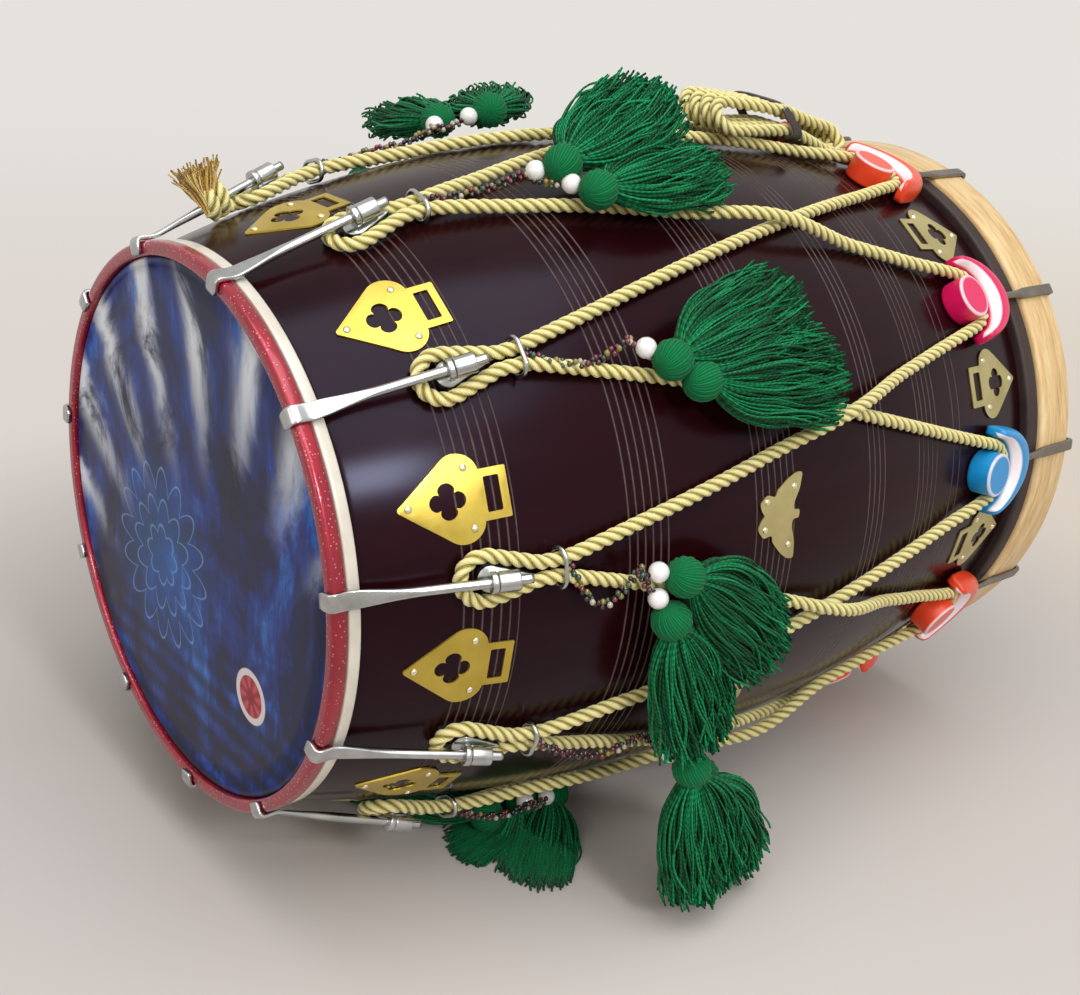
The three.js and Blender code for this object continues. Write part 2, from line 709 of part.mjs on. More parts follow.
// Each tassel of a pair: its head's place along the drum, round it from the lug and out from
// the ropes, and which way its skirt falls in X, Y and Z
const tasselShares = [
  { lug: 0, heads: [
    { along: 0.36, round: -0.2, out: 0, fall: [0.15, 0.3, -1] },
    { along: 0.37, round: 0.1, out: 0, fall: [0.3, 0.5, -1] },
  ] },
  { lug: 1, heads: [
    { along: 0.38, round: -0.15, out: 0, fall: [-0.35, 0.9, -0.3] },
    { along: 0.42, round: 0.05, out: 0, fall: [0.1, 1, -0.3] },
  ] },
  { lug: 2, heads: [
    { along: 0.337, round: 0.11, out: 0, fall: [0.92, 0.26, 0.29] },
    { along: 0.348, round: 0.32, out: 0, fall: [0.98, 0.16, 0.07] },
  ] },
  { lug: 3, heads: [
    { along: 0.328, round: 0.2, out: 0, fall: [0.95, 0, 0.32] },
    { along: 0.354, round: 0.31, out: 0, fall: [0.97, -0.26, -0.04] },
  ] },
  { lug: 4, heads: [
    { along: 0.308, round: 0.12, out: 0.01, fall: [0.8, -0.26, -0.54] },
    { along: 0.296, round: 0.29, out: 0.01, fall: [0.42, 0, -0.91] },
  ] },
  { lug: 5, heads: [
    { along: 0.332, round: 0.16, out: 0.1, fall: [0.09, 0.24, -0.97] },
    { along: 0.345, round: 0.05, out: 0.25, fall: [0.41, 0.13, -0.9] },
  ] },
  { lug: 6, heads: [
    { along: 0.384, round: 0.38, out: 0, fall: [-0.69, -0.72, 0] },
    { along: 0.307, round: 0.19, out: 0, fall: [-0.85, -0.53, 0] },
  ] },
  { lug: 7, heads: [
    { along: 0.29, round: -0.6, out: 0.05, fall: [-1, -0.1, 0] },
    { along: 0.33, round: -0.45, out: 0.02, fall: [-1, 0, 0] },
  ] },
];

// A tassel is one lofted form: a wound ball, a bound neck and a skirt that fans out flat
const tasselStations = [
  { at: -0.98 * tasselHead / 2, high: 0.3 * tasselHead / 2, wide: 0.3 * tasselHead / 2 },
  { at: -0.6 * tasselHead / 2, high: 0.8 * tasselHead / 2, wide: 0.8 * tasselHead / 2 },
  { at: 0, high: tasselHead / 2, wide: tasselHead / 2 },
  { at: tasselHead / 2, high: tasselNeck / 2, wide: tasselNeck / 2 },
  { at: 0.35 * tasselLength, high: 0.8 * skirtThick / 2, wide: 0.6 * skirtWidth / 2 },
  { at: 0.7 * tasselLength, high: skirtThick / 2, wide: 0.95 * skirtWidth / 2 },
  { at: tasselLength - tasselHead / 2, high: 0.6 * skirtThick / 2, wide: skirtWidth / 2 },
];

function makeTasselPair({ lug, heads }) {
  const parts = [];
  const knot = [];
  for (const { along, round, out, fall } of heads) {
    const x = drumLength * along;
    const onRopes = shellRadius(x) + tasselLift + tasselHead / 2;
    const head = around(x, rodTurn(lug + round), onRopes + tasselLength * out);
    const way = new THREE.Vector3(...fall).normalize();
    const points = tasselStations.map(({ at, high }) => {
      const point = head.clone().addScaledVector(way, at);
      const least = shellRadius(point.x) + tasselLift + high;
      const push = Math.max(least - Math.hypot(point.y, point.z), 0);
      point.addScaledVector(fromAxis(point), push);
      point.z = Math.max(point.z, floor + high);
      return point;
    });
    parts.push(swept(points, fromAxis,
      (i) => ({ ...tasselStations[i], sides: tasselSides })));
    knot.push(points[2]);
  }
  const pearlX = Math.min(knot[0].x, knot[1].x) - tasselHead / 2 - pearlDiameter / 2;
  const pearlLug = lug + (heads[0].round + heads[1].round) / 8;
  const pearl = around(pearlX, rodTurn(pearlLug), shellRadius(pearlX) + tasselLift + pearlDiameter / 2);
  const tiedX = legStartX + stringDiameter / 2;
  const tied = around(tiedX, rodTurn(lug), shellRadius(tiedX) + ringLift + stringDiameter);
  const string = { high: stringDiameter / 2, wide: stringDiameter / 2, sides: stringSides };
  parts.push(swept([tied, pearl], fromAxis, () => string));
  for (const head of knot) {
    parts.push(swept([pearl, head], fromAxis, () => string));
  }
  parts.push(new THREE.IcosahedronGeometry(pearlDiameter / 2).translate(pearl.x, pearl.y, pearl.z));
  return fromSolid(cutAtFloor(joined(parts)));
}

addPiece('shell', makeShell(), paint.shell);
addPiece('treble_head', makeFilm(), paint.film);
addPiece('treble_flesh_hoop', makeFleshHoop(), paint.creamHoop);
addPiece('treble_counter_hoop', makeTrebleHoop(), paint.redHoop);
addPiece('bass_head', makeSkin(), paint.skin);
addPiece('bass_counter_hoop', makeBassHoop(), paint.wood);
addPiece('lacing_rope', makeLacing(), paint.rope);
addPiece('spare_rope', makeSpareRope(), paint.rope);

const clawRod = makeClawRod();
const nut = makeNut();
const ring = makeRing();
const yoke = makeYoke();
for (let lug = 0; lug < lugCount; lug += 1) {
  const number = String(lug + 1).padStart(2, '0');
  addPiece(`claw_rod_${number}`, clawRod, steel, Math.PI + rodTurn(lug));
  addPiece(`tuning_nut_${number}`, nut, steel, Math.PI + rodTurn(lug));
  addPiece(`slide_ring_${number}`, ring, steel, Math.PI + rodTurn(lug));
  const color = yokeColors[(lug + 2) % yokeColors.length];
  addPiece(`bass_yoke_${number}`, yoke, { color, roughness: 0.35, metalness: 0 }, Math.PI + yokeTurn(lug));
}
for (const pair of tasselShares) {
  const number = String(pair.lug + 1).padStart(2, '0');
  addPiece(`tassel_pair_${number}`, makeTasselPair(pair), paint.tassel);
}

// The part stands with its floor at zero, centred above the origin
const bounds = new THREE.Box3();
for (const mesh of dhol.children) {
  mesh.updateMatrixWorld();
  bounds.expandByObject(mesh, true);
}
const middle = bounds.getCenter(new THREE.Vector3()).setZ(bounds.min.z);
for (const mesh of dhol.children) {
  mesh.position.sub(middle);
}
console.log(`axis at x ${(-middle.x).toFixed(2)} y ${(-middle.y).toFixed(2)} z ${(-middle.z).toFixed(2)} mm`);

export default dhol;
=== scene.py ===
# A dhol on its side: the finished look round its plain solids.
import math

import bpy
import numpy as np
from mathutils import Matrix, Vector, geometry


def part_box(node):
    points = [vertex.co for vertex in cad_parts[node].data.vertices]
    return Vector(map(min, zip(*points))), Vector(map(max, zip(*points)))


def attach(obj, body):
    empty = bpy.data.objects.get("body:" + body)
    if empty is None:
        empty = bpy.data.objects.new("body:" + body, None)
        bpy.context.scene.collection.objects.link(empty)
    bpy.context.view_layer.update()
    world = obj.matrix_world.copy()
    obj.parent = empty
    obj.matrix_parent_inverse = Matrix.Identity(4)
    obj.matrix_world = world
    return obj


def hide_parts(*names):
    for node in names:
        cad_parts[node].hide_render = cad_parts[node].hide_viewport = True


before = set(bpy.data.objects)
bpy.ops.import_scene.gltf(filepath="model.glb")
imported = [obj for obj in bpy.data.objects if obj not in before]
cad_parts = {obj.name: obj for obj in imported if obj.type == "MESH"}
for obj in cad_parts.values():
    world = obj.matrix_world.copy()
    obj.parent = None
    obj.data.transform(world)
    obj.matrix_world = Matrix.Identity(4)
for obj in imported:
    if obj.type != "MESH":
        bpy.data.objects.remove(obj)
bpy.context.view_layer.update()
mm = 0.001
rng = np.random.default_rng(11)

# Sizes in millimetres from the middle of the treble head's face, as the solids have them
drum = {
    "lugs": 11, "bottomLug": 7, "aheadDegrees": 3.74, "length": 600, "hoopStand": 3.2,
    "belly": 214, "trebleEnd": 160.5, "bassEnd": 181, "wall": 14, "gap": 0.3, "sides": 192,
    "trebleSeat": 159.7, "bassSeat": 182.4, "trebleSeatX": 14.4, "bassSeatX": 549.7,
    "trebleEdgeX": 1.5, "bassEdgeX": 590.5, "bellyX": 296.8, "seatDepth": 6, "openFrom": 18, "openTo": 548,
}
shellLow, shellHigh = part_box("shell")
drumOrigin = np.array([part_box("treble_head")[0].x, (shellLow.y + shellHigh.y) / 2,
                       (shellLow.z + shellHigh.z) / 2])
floorZ = -drumOrigin[2] / mm
lugPitch = 2 * math.pi / drum["lugs"]
ahead = math.radians(drum["aheadDegrees"])


def toRow(points):
    return drumOrigin + np.asarray(points, float) * mm


def rodTurn(lug):
    return (lug - drum["bottomLug"]) * lugPitch - ahead / 2


def yokeTurn(lug):
    return (lug - drum["bottomLug"]) * lugPitch + ahead / 2


def shellRadius(x):
    # two half parabolas that meet at the belly
    x = np.asarray(x, float)
    end = np.where(x < drum["bellyX"], drum["trebleEnd"], drum["bassEnd"])
    return drum["belly"] - (drum["belly"] - end) * ((x - drum["bellyX"]) / (drum["length"] / 2)) ** 2


def shellSlope(x):
    end = np.where(np.asarray(x) < drum["bellyX"], drum["trebleEnd"], drum["bassEnd"])
    return -2 * (drum["belly"] - end) * (x - drum["bellyX"]) / (drum["length"] / 2) ** 2


def aroundDrum(x, turn, radius):
    # outward direction (sin, -cos) of the turn in Y and Z
    x, turn, radius = np.broadcast_arrays(np.asarray(x, float), turn, radius)
    return np.stack([x, radius * np.sin(turn), -radius * np.cos(turn)], -1)


def fromLug(points, turn):
    # from X, along the tangent, outward to X, Y, Z
    x, tangent, outward = np.moveaxis(np.asarray(points, float), -1, 0)
    return np.stack([x, tangent * np.cos(turn) + outward * np.sin(turn),
                     tangent * np.sin(turn) - outward * np.cos(turn)], -1)


def unit(vectors):
    return vectors / np.maximum(np.linalg.norm(vectors, axis=-1, keepdims=True), 1e-12)


def sideAndUp(along, reference):
    # the two directions square to a path, with up towards the reference
    side = unit(np.cross(along, reference))
    return side, np.cross(side, along)


def smooth(values, low, high):
    share = np.clip((values - low) / (high - low), 0, 1)
    return share * share * (3 - 2 * share)


camera = {"place": (-359.87, -740.76, 381.64), "forward": (0.59536, 0.70153, -0.39167),
          "right": (0.78211, -0.61765, 0.08254), "lens": 50.0, "sensor": 36}


def addCamera():
    data = bpy.data.cameras.new("camera")
    data.lens = camera["lens"]
    data.sensor_width = camera["sensor"]
    eye = bpy.data.objects.new("camera", data)
    bpy.context.scene.collection.objects.link(eye)
    forward = Vector(camera["forward"]).normalized()
    right = Vector(camera["right"])
    right = (right - forward * right.dot(forward)).normalized()
    up = right.cross(forward)
    turn = Matrix((right, up, -forward)).transposed().to_4x4()
    eye.matrix_world = Matrix.Translation(Vector(toRow(camera["place"]))) @ turn
    bpy.context.scene.camera = eye


addCamera()
print("camera placed")


def color(text, alpha=1.0):
    # from a six-figure screen colour to linear light
    parts = np.array([int(text[i:i + 2], 16) for i in (0, 2, 4)]) / 255
    linear = np.where(parts <= 0.04045, parts / 12.92, ((parts + 0.055) / 1.055) ** 2.4)
    return (*[float(v) for v in linear], alpha)


class Value:
    # wraps a socket, so that sums and products on it add Math nodes
    def __init__(self, graph, socket):
        self.graph, self.socket = graph, socket

    def math(self, operation, other=None):
        inputs = {0: self} if other is None else {0: self, 1: other}
        return self.graph.add("ShaderNodeMath", {"operation": operation}, inputs)

    def wave(self):
        # its sine, brought between 0 and 1
        return self.math("SINE") * 0.5 + 0.5

    def __add__(self, other):
        return self.math("ADD", other)

    def __sub__(self, other):
        return self.math("SUBTRACT", other)

    def __rsub__(self, other):
        return self.graph.add("ShaderNodeMath", {"operation": "SUBTRACT"}, {0: other, 1: self})

    def __mul__(self, other):
        return self.math("MULTIPLY", other)

    def __truediv__(self, other):
        return self.math("DIVIDE", other)

    def __pow__(self, other):
        return self.math("POWER", other)

    def __abs__(self):
        return self.math("ABSOLUTE")

    __radd__, __rmul__ = __add__, __mul__


class Graph:
    # a node tree whose nodes come from one method, with colours given as text
    def __init__(self, tree):
        self.tree = tree

    def add(self, kind, settings=None, inputs=None, output=0):
        node = self.tree.nodes.new(kind)
        for key, value in (settings or {}).items():
            if key == "stops":
                ramp = node.color_ramp
                while len(ramp.elements) < len(value):
                    ramp.elements.new(0.5)
                for stop, (place, tone) in zip(ramp.elements, value):
                    stop.position = place
                    stop.color = color(tone)
            else:
                setattr(node, key, value)
        for key, value in (inputs or {}).items():
            if isinstance(value, Value):
                self.tree.links.new(value.socket, node.inputs[key])
            else:
                node.inputs[key].default_value = color(value) if isinstance(value, str) else value
        return Value(self, node.outputs[output]) if len(node.outputs) else None

    def seen(self):
        # 1 for the eye, for reflections and through glass, 0 for the light that falls on things
        ray = self.add("ShaderNodeLightPath").socket.node.outputs
        eye, glossy, through = (Value(self, ray[name]) for name in (
            "Is Camera Ray", "Is Glossy Ray", "Is Transmission Ray"))
        return eye.math("MAXIMUM", glossy).math("MAXIMUM", through)


class Finish(Graph):
    # one material: a principled shader and the nodes that feed it
    def __init__(self, name, **fixed):
        self.material = bpy.data.materials.new(name)
        self.material.use_nodes = True
        super().__init__(self.material.node_tree)
        self.shader = self.tree.nodes["Principled BSDF"]
        for socket, value in fixed.items():
            self.shader.inputs[socket.replace("_", " ")].default_value = value

    def cover(self, tone, rough=None, normal=None):
        for socket, value in (("Base Color", tone), ("Roughness", rough), ("Normal", normal)):
            if value is not None:
                self.tree.links.new(value.socket, self.shader.inputs[socket])
        return self

    def place(self, centred=False, scale=(1, 1, 1)):
        # Object coordinates, counted from the treble head's middle if centred
        spot = self.add("ShaderNodeTexCoord", output="Object")
        origin = tuple(drumOrigin) if centred else (0, 0, 0)
        return self.add("ShaderNodeMapping", {"vector_type": "TEXTURE"},
                        {"Vector": spot, "Location": origin, "Scale": scale})

    def split(self, vector):
        outputs = self.add("ShaderNodeSeparateXYZ", inputs={0: vector}).socket.node.outputs
        return [Value(self, outputs[i]) for i in range(3)]

    def noise(self, vector, scale, detail=3.0, rough=0.55, distortion=0.0):
        return self.add("ShaderNodeTexNoise", inputs={"Vector": vector, "Scale": scale, "Detail": detail,
                                                      "Roughness": rough, "Distortion": distortion})

    def cells(self, vector, scale):
        return self.add("ShaderNodeTexVoronoi", inputs={"Vector": vector, "Scale": scale})

    def ramp(self, factor, stops, interpolation="LINEAR"):
        value = self.add("ShaderNodeValToRGB", {"stops": stops}, {0: factor})
        value.socket.node.color_ramp.interpolation = interpolation
        return value

    def blend(self, factor, first, second):
        return self.add("ShaderNodeMix", {"data_type": "RGBA"}, {0: factor, 6: first, 7: second}, 2)

    def bump(self, height, distance, strength):
        inputs = {"Height": height, "Distance": distance, "Strength": strength}
        return self.add("ShaderNodeBump", inputs=inputs)

    def mark(self, name):
        return self.add("ShaderNodeAttribute", {"attribute_name": name}, output="Fac")

    def step(self, value, low, high):
        # a smooth step from 0 at low to 1 at high
        return self.add("ShaderNodeMapRange", {"interpolation_type": "SMOOTHSTEP"},
                        {0: value, 1: low, 2: high, 3: 0.0, 4: 1.0})


def gridFaces(rows, columns, rowLoop, columnLoop, start=0):
    # four corners of each cell of a grid of points
    i = np.arange(rows if rowLoop else rows - 1)[:, None]
    j = np.arange(columns if columnLoop else columns - 1)[None, :]
    ni, nj = (i + 1) % rows, (j + 1) % columns
    corners = np.broadcast_arrays(i * columns + j, ni * columns + j, ni * columns + nj, i * columns + nj)
    return np.stack(corners, -1).reshape(-1, 4) + start


class Mesh:
    # gathers grids of points into one mesh with a UV map and named marks
    def __init__(self):
        self.points, self.quads, self.tris = [], [], []
        self.uvs, self.triUvs, self.marks = [], [], {}
        self.count = 0

    def grid(self, points, rowLoop=False, columnLoop=False, caps=(False, False), uv=(1, 1), marks=None):
        points = np.asarray(points, float)
        rows, columns = points.shape[:2]
        faces = gridFaces(rows, columns, rowLoop, columnLoop, self.count)
        u = np.arange(rows + 1) / max(rows if rowLoop else rows - 1, 1) * uv[0]
        v = np.arange(columns + 1) / max(columns if columnLoop else columns - 1, 1) * uv[1]
        i = np.arange(rows if rowLoop else rows - 1)[:, None]
        j = np.arange(columns if columnLoop else columns - 1)[None, :]
        corners = [(i, j), (i + 1, j), (i + 1, j + 1), (i, j + 1)]
        cells = np.stack([np.stack(np.broadcast_arrays(u[a], v[b]), -1) for a, b in corners], -2)
        cells = cells.reshape(-1, 4, 2)
        # faces outward: the volume they enclose is positive
        around = points.reshape(-1, 3) - points.reshape(-1, 3).mean(0)
        a, b, c, d = (around[faces[:, k] - self.count] for k in range(4))
        flip = float((np.cross(a, b) * c + np.cross(a, c) * d).sum()) < 0
        if flip:
            faces, cells = faces[:, ::-1], cells[:, ::-1]
        self.quads.append(faces)
        self.uvs.append(cells)
        flat = [points.reshape(-1, 3)]
        added = rows * columns
        for end, wanted in enumerate(caps):
            if not wanted:
                continue
            # a fan from the end ring's middle
            flat.append(points[-1 if end else 0].mean(0, keepdims=True))
            first = np.arange(columns)
            edge = self.count + (rows - 1) * columns * end + np.stack([first, (first + 1) % columns])
            middle = np.full(columns, self.count + added)
            self.tris.append(np.stack([middle, *(edge if end == flip else edge[::-1])], -1))
            self.triUvs.append(np.full((columns, 3, 2), float(uv[0] * end)))
            added += 1
        self.points.append(np.concatenate(flat))
        for name, values in (marks or {}).items():
            values = np.broadcast_to(values, (rows, columns)).reshape(-1)
            values = np.concatenate([values, np.full(added - rows * columns, values[-1])])
            self.marks.setdefault(name, []).append(values)
        self.count += added

    def bar(self, points, **more):
        # rings of points closed round, with both ends capped
        self.grid(points, columnLoop=True, caps=(True, True), **more)

    def build(self, name, finish, body="drum", slot=None, replaces=(), creased=False):
        points = toRow(np.concatenate(self.points))
        points[:, 2] = np.maximum(points[:, 2], 0.0)  # nothing sinks into the floor
        quads = np.concatenate(self.quads) if self.quads else np.zeros((0, 4), int)
        tris = np.concatenate(self.tris) if self.tris else np.zeros((0, 3), int)
        data = bpy.data.meshes.new(name)
        data.vertices.add(len(points))
        data.vertices.foreach_set("co", points.astype(np.float32).ravel())
        corners = np.concatenate([quads.ravel(), tris.ravel()]).astype(np.int32)
        starts = np.concatenate([np.arange(len(quads)) * 4, len(quads) * 4 + np.arange(len(tris)) * 3])
        data.loops.add(len(corners))
        data.loops.foreach_set("vertex_index", corners)
        data.polygons.add(len(starts))
        data.polygons.foreach_set("loop_start", starts.astype(np.int32))
        data.update(calc_edges=True)
        uvMap = data.uv_layers.new(name="UVMap")
        parts = [np.concatenate(part).reshape(-1, 2) for part in (self.uvs, self.triUvs) if part]
        uvMap.data.foreach_set("uv", np.concatenate(parts).astype(np.float32).ravel())
        for mark, values in self.marks.items():
            layer = data.attributes.new(mark, "FLOAT", "POINT")
            layer.data.foreach_set("value", np.concatenate(values).astype(np.float32))
        data.validate()
        data.shade_smooth()
        if creased:
            data.set_sharp_from_angle(angle=0.6)
        data.materials.append(finishes[finish].material)
        piece = bpy.data.objects.new(name, data)
        bpy.context.scene.collection.objects.link(piece)
        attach(piece, body)
        if replaces:
            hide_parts(*replaces)


def turnedGrid(profile, sides):
    # each profile point (x, radius) carried round the drum's axis
    x, radius = np.asarray(profile, float).T
    turn = np.arange(sides) * 2 * math.pi / sides
    return aroundDrum(x[:, None], turn[None, :], radius[:, None])


def rounded(corners, radius, steps=5):
    # an open outline whose inner corners are replaced by short arcs
    corners = [np.asarray(c, float) for c in corners]
    out = [corners[0]]
    for before, here, after in zip(corners, corners[1:], corners[2:]):
        size = min(radius, np.linalg.norm(before - here) * 0.45, np.linalg.norm(after - here) * 0.45)
        first = here + unit(before - here) * size
        last = here + unit(after - here) * size
        share = np.linspace(0, 1, steps)[:, None]
        out.extend((1 - share) ** 2 * first + 2 * share * (1 - share) * here + share ** 2 * last)
    out.append(corners[-1])
    return np.array(out)


def closedRounded(corners, radius, steps=5):
    corners = [np.asarray(c, float) for c in corners]
    middle = (corners[0] + corners[-1]) / 2
    return rounded([middle, *corners, middle], radius, steps)[:-1]


def dense(points, step):
    # points at an even step along a polyline
    points = np.asarray(points, float)
    lengths = np.concatenate([[0], np.cumsum(np.linalg.norm(np.diff(points, axis=0), axis=1))])
    count = max(int(round(lengths[-1] / step)), 1)
    at = np.linspace(0, lengths[-1], count + 1)
    return np.stack([np.interp(at, lengths, column) for column in points.T], -1)


def carried(path, reference, wide, high, power=2.0, sides=16, looped=False):
    # a superellipse section carried along a path: |a/wide|^power + |b/high|^power = 1,
    # with high towards the reference direction
    path = np.asarray(path, float)
    along = np.roll(path, -1, 0) - np.roll(path, 1, 0) if looped else np.gradient(path, axis=0)
    side, up = sideAndUp(unit(along), reference)
    turn = np.arange(sides) * 2 * math.pi / sides
    wide, high, power = (np.broadcast_to(v, len(path))[:, None] for v in (wide, high, power))
    c, s = np.cos(turn)[None, :], np.sin(turn)[None, :]
    a = np.sign(s) * np.abs(s) ** (2 / power) * wide
    b = np.sign(c) * np.abs(c) ** (2 / power) * high
    return path[:, None, :] + a[..., None] * side[:, None, :] + b[..., None] * up[:, None, :]


def bentLine(corners, step):
    # a rounded line in the lug's own plane, and the direction square to it there
    bend = rounded(corners, 3.0, 8)
    path = dense(np.stack([bend[:, 0], np.zeros(len(bend)), bend[:, 1]], -1), step)
    return path, np.cross(np.gradient(path, axis=0), [0, 1, 0]) * -1


def outwardOf(points):
    out = np.array(points, float)
    out[..., 0] = 0
    return unit(out)


# each group of grooves runs from, to, at a pitch
groove = {"groups": [(66, 100, 5.2), (164, 195, 5.2), (255, 291, 5.2), (357, 377, 5.2), (410, 436, 5.2),
                     (450, 466, 8)], "width": 1.5}
# the line colour is a painted highlight for the grooves
lacquer = {"deep": "140305", "warm": "2a080b", "grain": "3a1014", "line": "8a7a74", "sheen": "ccd6fb"}


def lacquerFinish():
    f = Finish("shellLacquer", IOR=1.45, Specular_IOR_Level=0.2, Specular_Tint=color(lacquer["sheen"]))
    spot = f.place(centred=True)
    x, y, z = f.split(spot)
    grain = f.noise(f.place(centred=True, scale=(6, 1, 1)), 60, 4)
    cloud = f.noise(spot, 6, 2)
    grooveHighlightNoise = f.noise(spot, 240, 2)
    lines = None
    for start, end, pitch in groove["groups"]:
        # a triangle of height 1 across each groove, from the fraction of its pitch
        inside = x.math("GREATER_THAN", start * mm) * x.math("LESS_THAN", end * mm)
        offset = ((x - start * mm) / (pitch * mm)).math("FRACT")
        near = (1 - abs(offset - 0.5) * (pitch / groove["width"] * 2)).math("MAXIMUM", 0.0)
        lines = inside * near if lines is None else lines + inside * near
    tone = f.blend(cloud * 0.8, lacquer["deep"], lacquer["warm"])
    tone = f.blend((grain - 0.45).math("MAXIMUM", 0.0) * 0.5, tone, lacquer["grain"])
    # the grooves get a pale colour: a painted highlight of the light their edges catch, stronger where the
    # noise is
    tone = f.blend(lines * (0.2 + 0.5 * grooveHighlightNoise), tone, lacquer["line"])
    return f.cover(tone, 0.17 + 0.08 * cloud + 0.2 * lines, f.bump(0.06 * grain - lines, 0.0006, 0.7))


def cloudyFinish(name, low, high, rough, clouds, grain=None, **fixed):
    # clouds of (scale, detail, spread) between two colours, rougher by the spread where it is paler,
    # over a fine grain of (stretch, scale, detail, depth, strength)
    f = Finish(name, **fixed)
    scale, detail, spread = clouds
    cloud = f.noise(f.place(), scale, detail)
    normal = None
    if grain:
        stretch, fine, finer, depth, strength = grain
        normal = f.bump(f.noise(f.place(scale=(stretch, 1, 1)), fine, finer), depth, strength)
    return f.cover(f.blend(cloud, low, high), rough + spread * cloud, normal)


def ropeFinish(name, hollow, body, crest):
    f = Finish(name, Roughness=0.55, Sheen_Weight=0.2)
    ridge = f.mark("crest")
    u, v, w = f.split(f.add("ShaderNodeUVMap"))
    yarn = ((u * 0.42 - v * 9) * (2 * math.pi)).wave()
    speck = f.noise(f.place(), 900, 2)
    # painted light: the tone runs from painted shade in the hollows between the strands, through the body
    # colour, to a painted highlight on their crests
    tone = f.ramp(ridge * 0.8 + speck * 0.25, [(0.08, hollow), (0.45, body), (0.95, crest)])
    # the hollows between the yarns get painted shade too
    return f.cover(f.blend((1 - yarn) * 0.16, tone, hollow), None, f.bump(yarn + ridge * 0.5, 0.0003, 0.7))


def redHoopFinish(low, high, flake):
    f = Finish("redMetallic", Coat_Weight=0.7, Coat_Roughness=0.1, Metallic=0.5)
    flakes = f.cells(f.place(), 420)
    cloud = f.noise(f.place(), 40, 3)
    tone = f.blend(flakes.math("LESS_THAN", 0.2) * 0.5, f.blend(cloud, low, high), flake)
    return f.cover(tone, 0.3 + 0.2 * cloud, f.bump(flakes, 0.0003, 0.35))


def caneFinish(dark, body, pale):
    f = Finish("bentCane", Coat_Weight=0.3, Coat_Roughness=0.25)
    x, y, z = f.split(f.place(centred=True))
    # the grain runs round the hoop: long along its turn, fine across
    radius = (y * y + z * z).math("SQRT")
    flat = f.add("ShaderNodeCombineXYZ", inputs={0: x, 1: y.math("ARCTAN2", z) * 0.02, 2: radius})
    grain = f.noise(flat, 420, 5, 0.6)
    broad = f.noise(flat, 90, 3)
    tone = f.ramp(grain * 0.55 + broad * 0.45, [(0.3, dark), (0.5, body), (0.7, pale)])
    return f.cover(tone, 0.42 + 0.2 * broad, f.bump(grain, 0.0005, 0.4))


def skinFinish():
    # pale where it is stretched, dark round the lap
    f = Finish("lappedHide")
    spot = f.place(centred=True)
    cloud = f.noise(spot, 14, 5, 0.65)
    pore = f.cells(spot, 900)
    x, y, z = f.split(spot)
    pale = f.ramp(cloud, [(0.3, "8d7658"), (0.5, "c9b593"), (0.75, "e0d2b6")])
    dark = f.ramp(cloud, [(0.3, "1c1110"), (0.7, "40302b")])
    tone = f.blend(f.step((y * y + z * z).math("SQRT"), 0.170, 0.184), pale, dark)
    return f.cover(tone, 0.5 + 0.25 * cloud, f.bump(cloud + pore * 0.3, 0.0006, 0.5))


# where the print's parts are centred, and the lotus's rings as (size, petals, phase)
film = {
    "plumes": (0.05, 0.12), "lotus": (-0.035, 0.03), "rosette": (0.078, 0.072),
    # the pitch of the level stripes and their dark colour give a painted reflection of blinds
    "petals": [(20, 8, 0.0), (38, 12, 0.6), (58, 16, 0.2)], "blindReflection": 0.016,
    "clouds": [(0.34, "04071a"), (0.46, "0b1848"), (0.55, "16337f"), (0.63, "2a66b4"), (0.76, "8aa6cc")],
    "blindReflectionDark": "0c0c14", "plume": "dde2e5", "petal": "8fbfe6", "heart": "2f7fcb", "red": "93202a",
    "spoke": "c8505a", "rim": "dcd6d6",
}


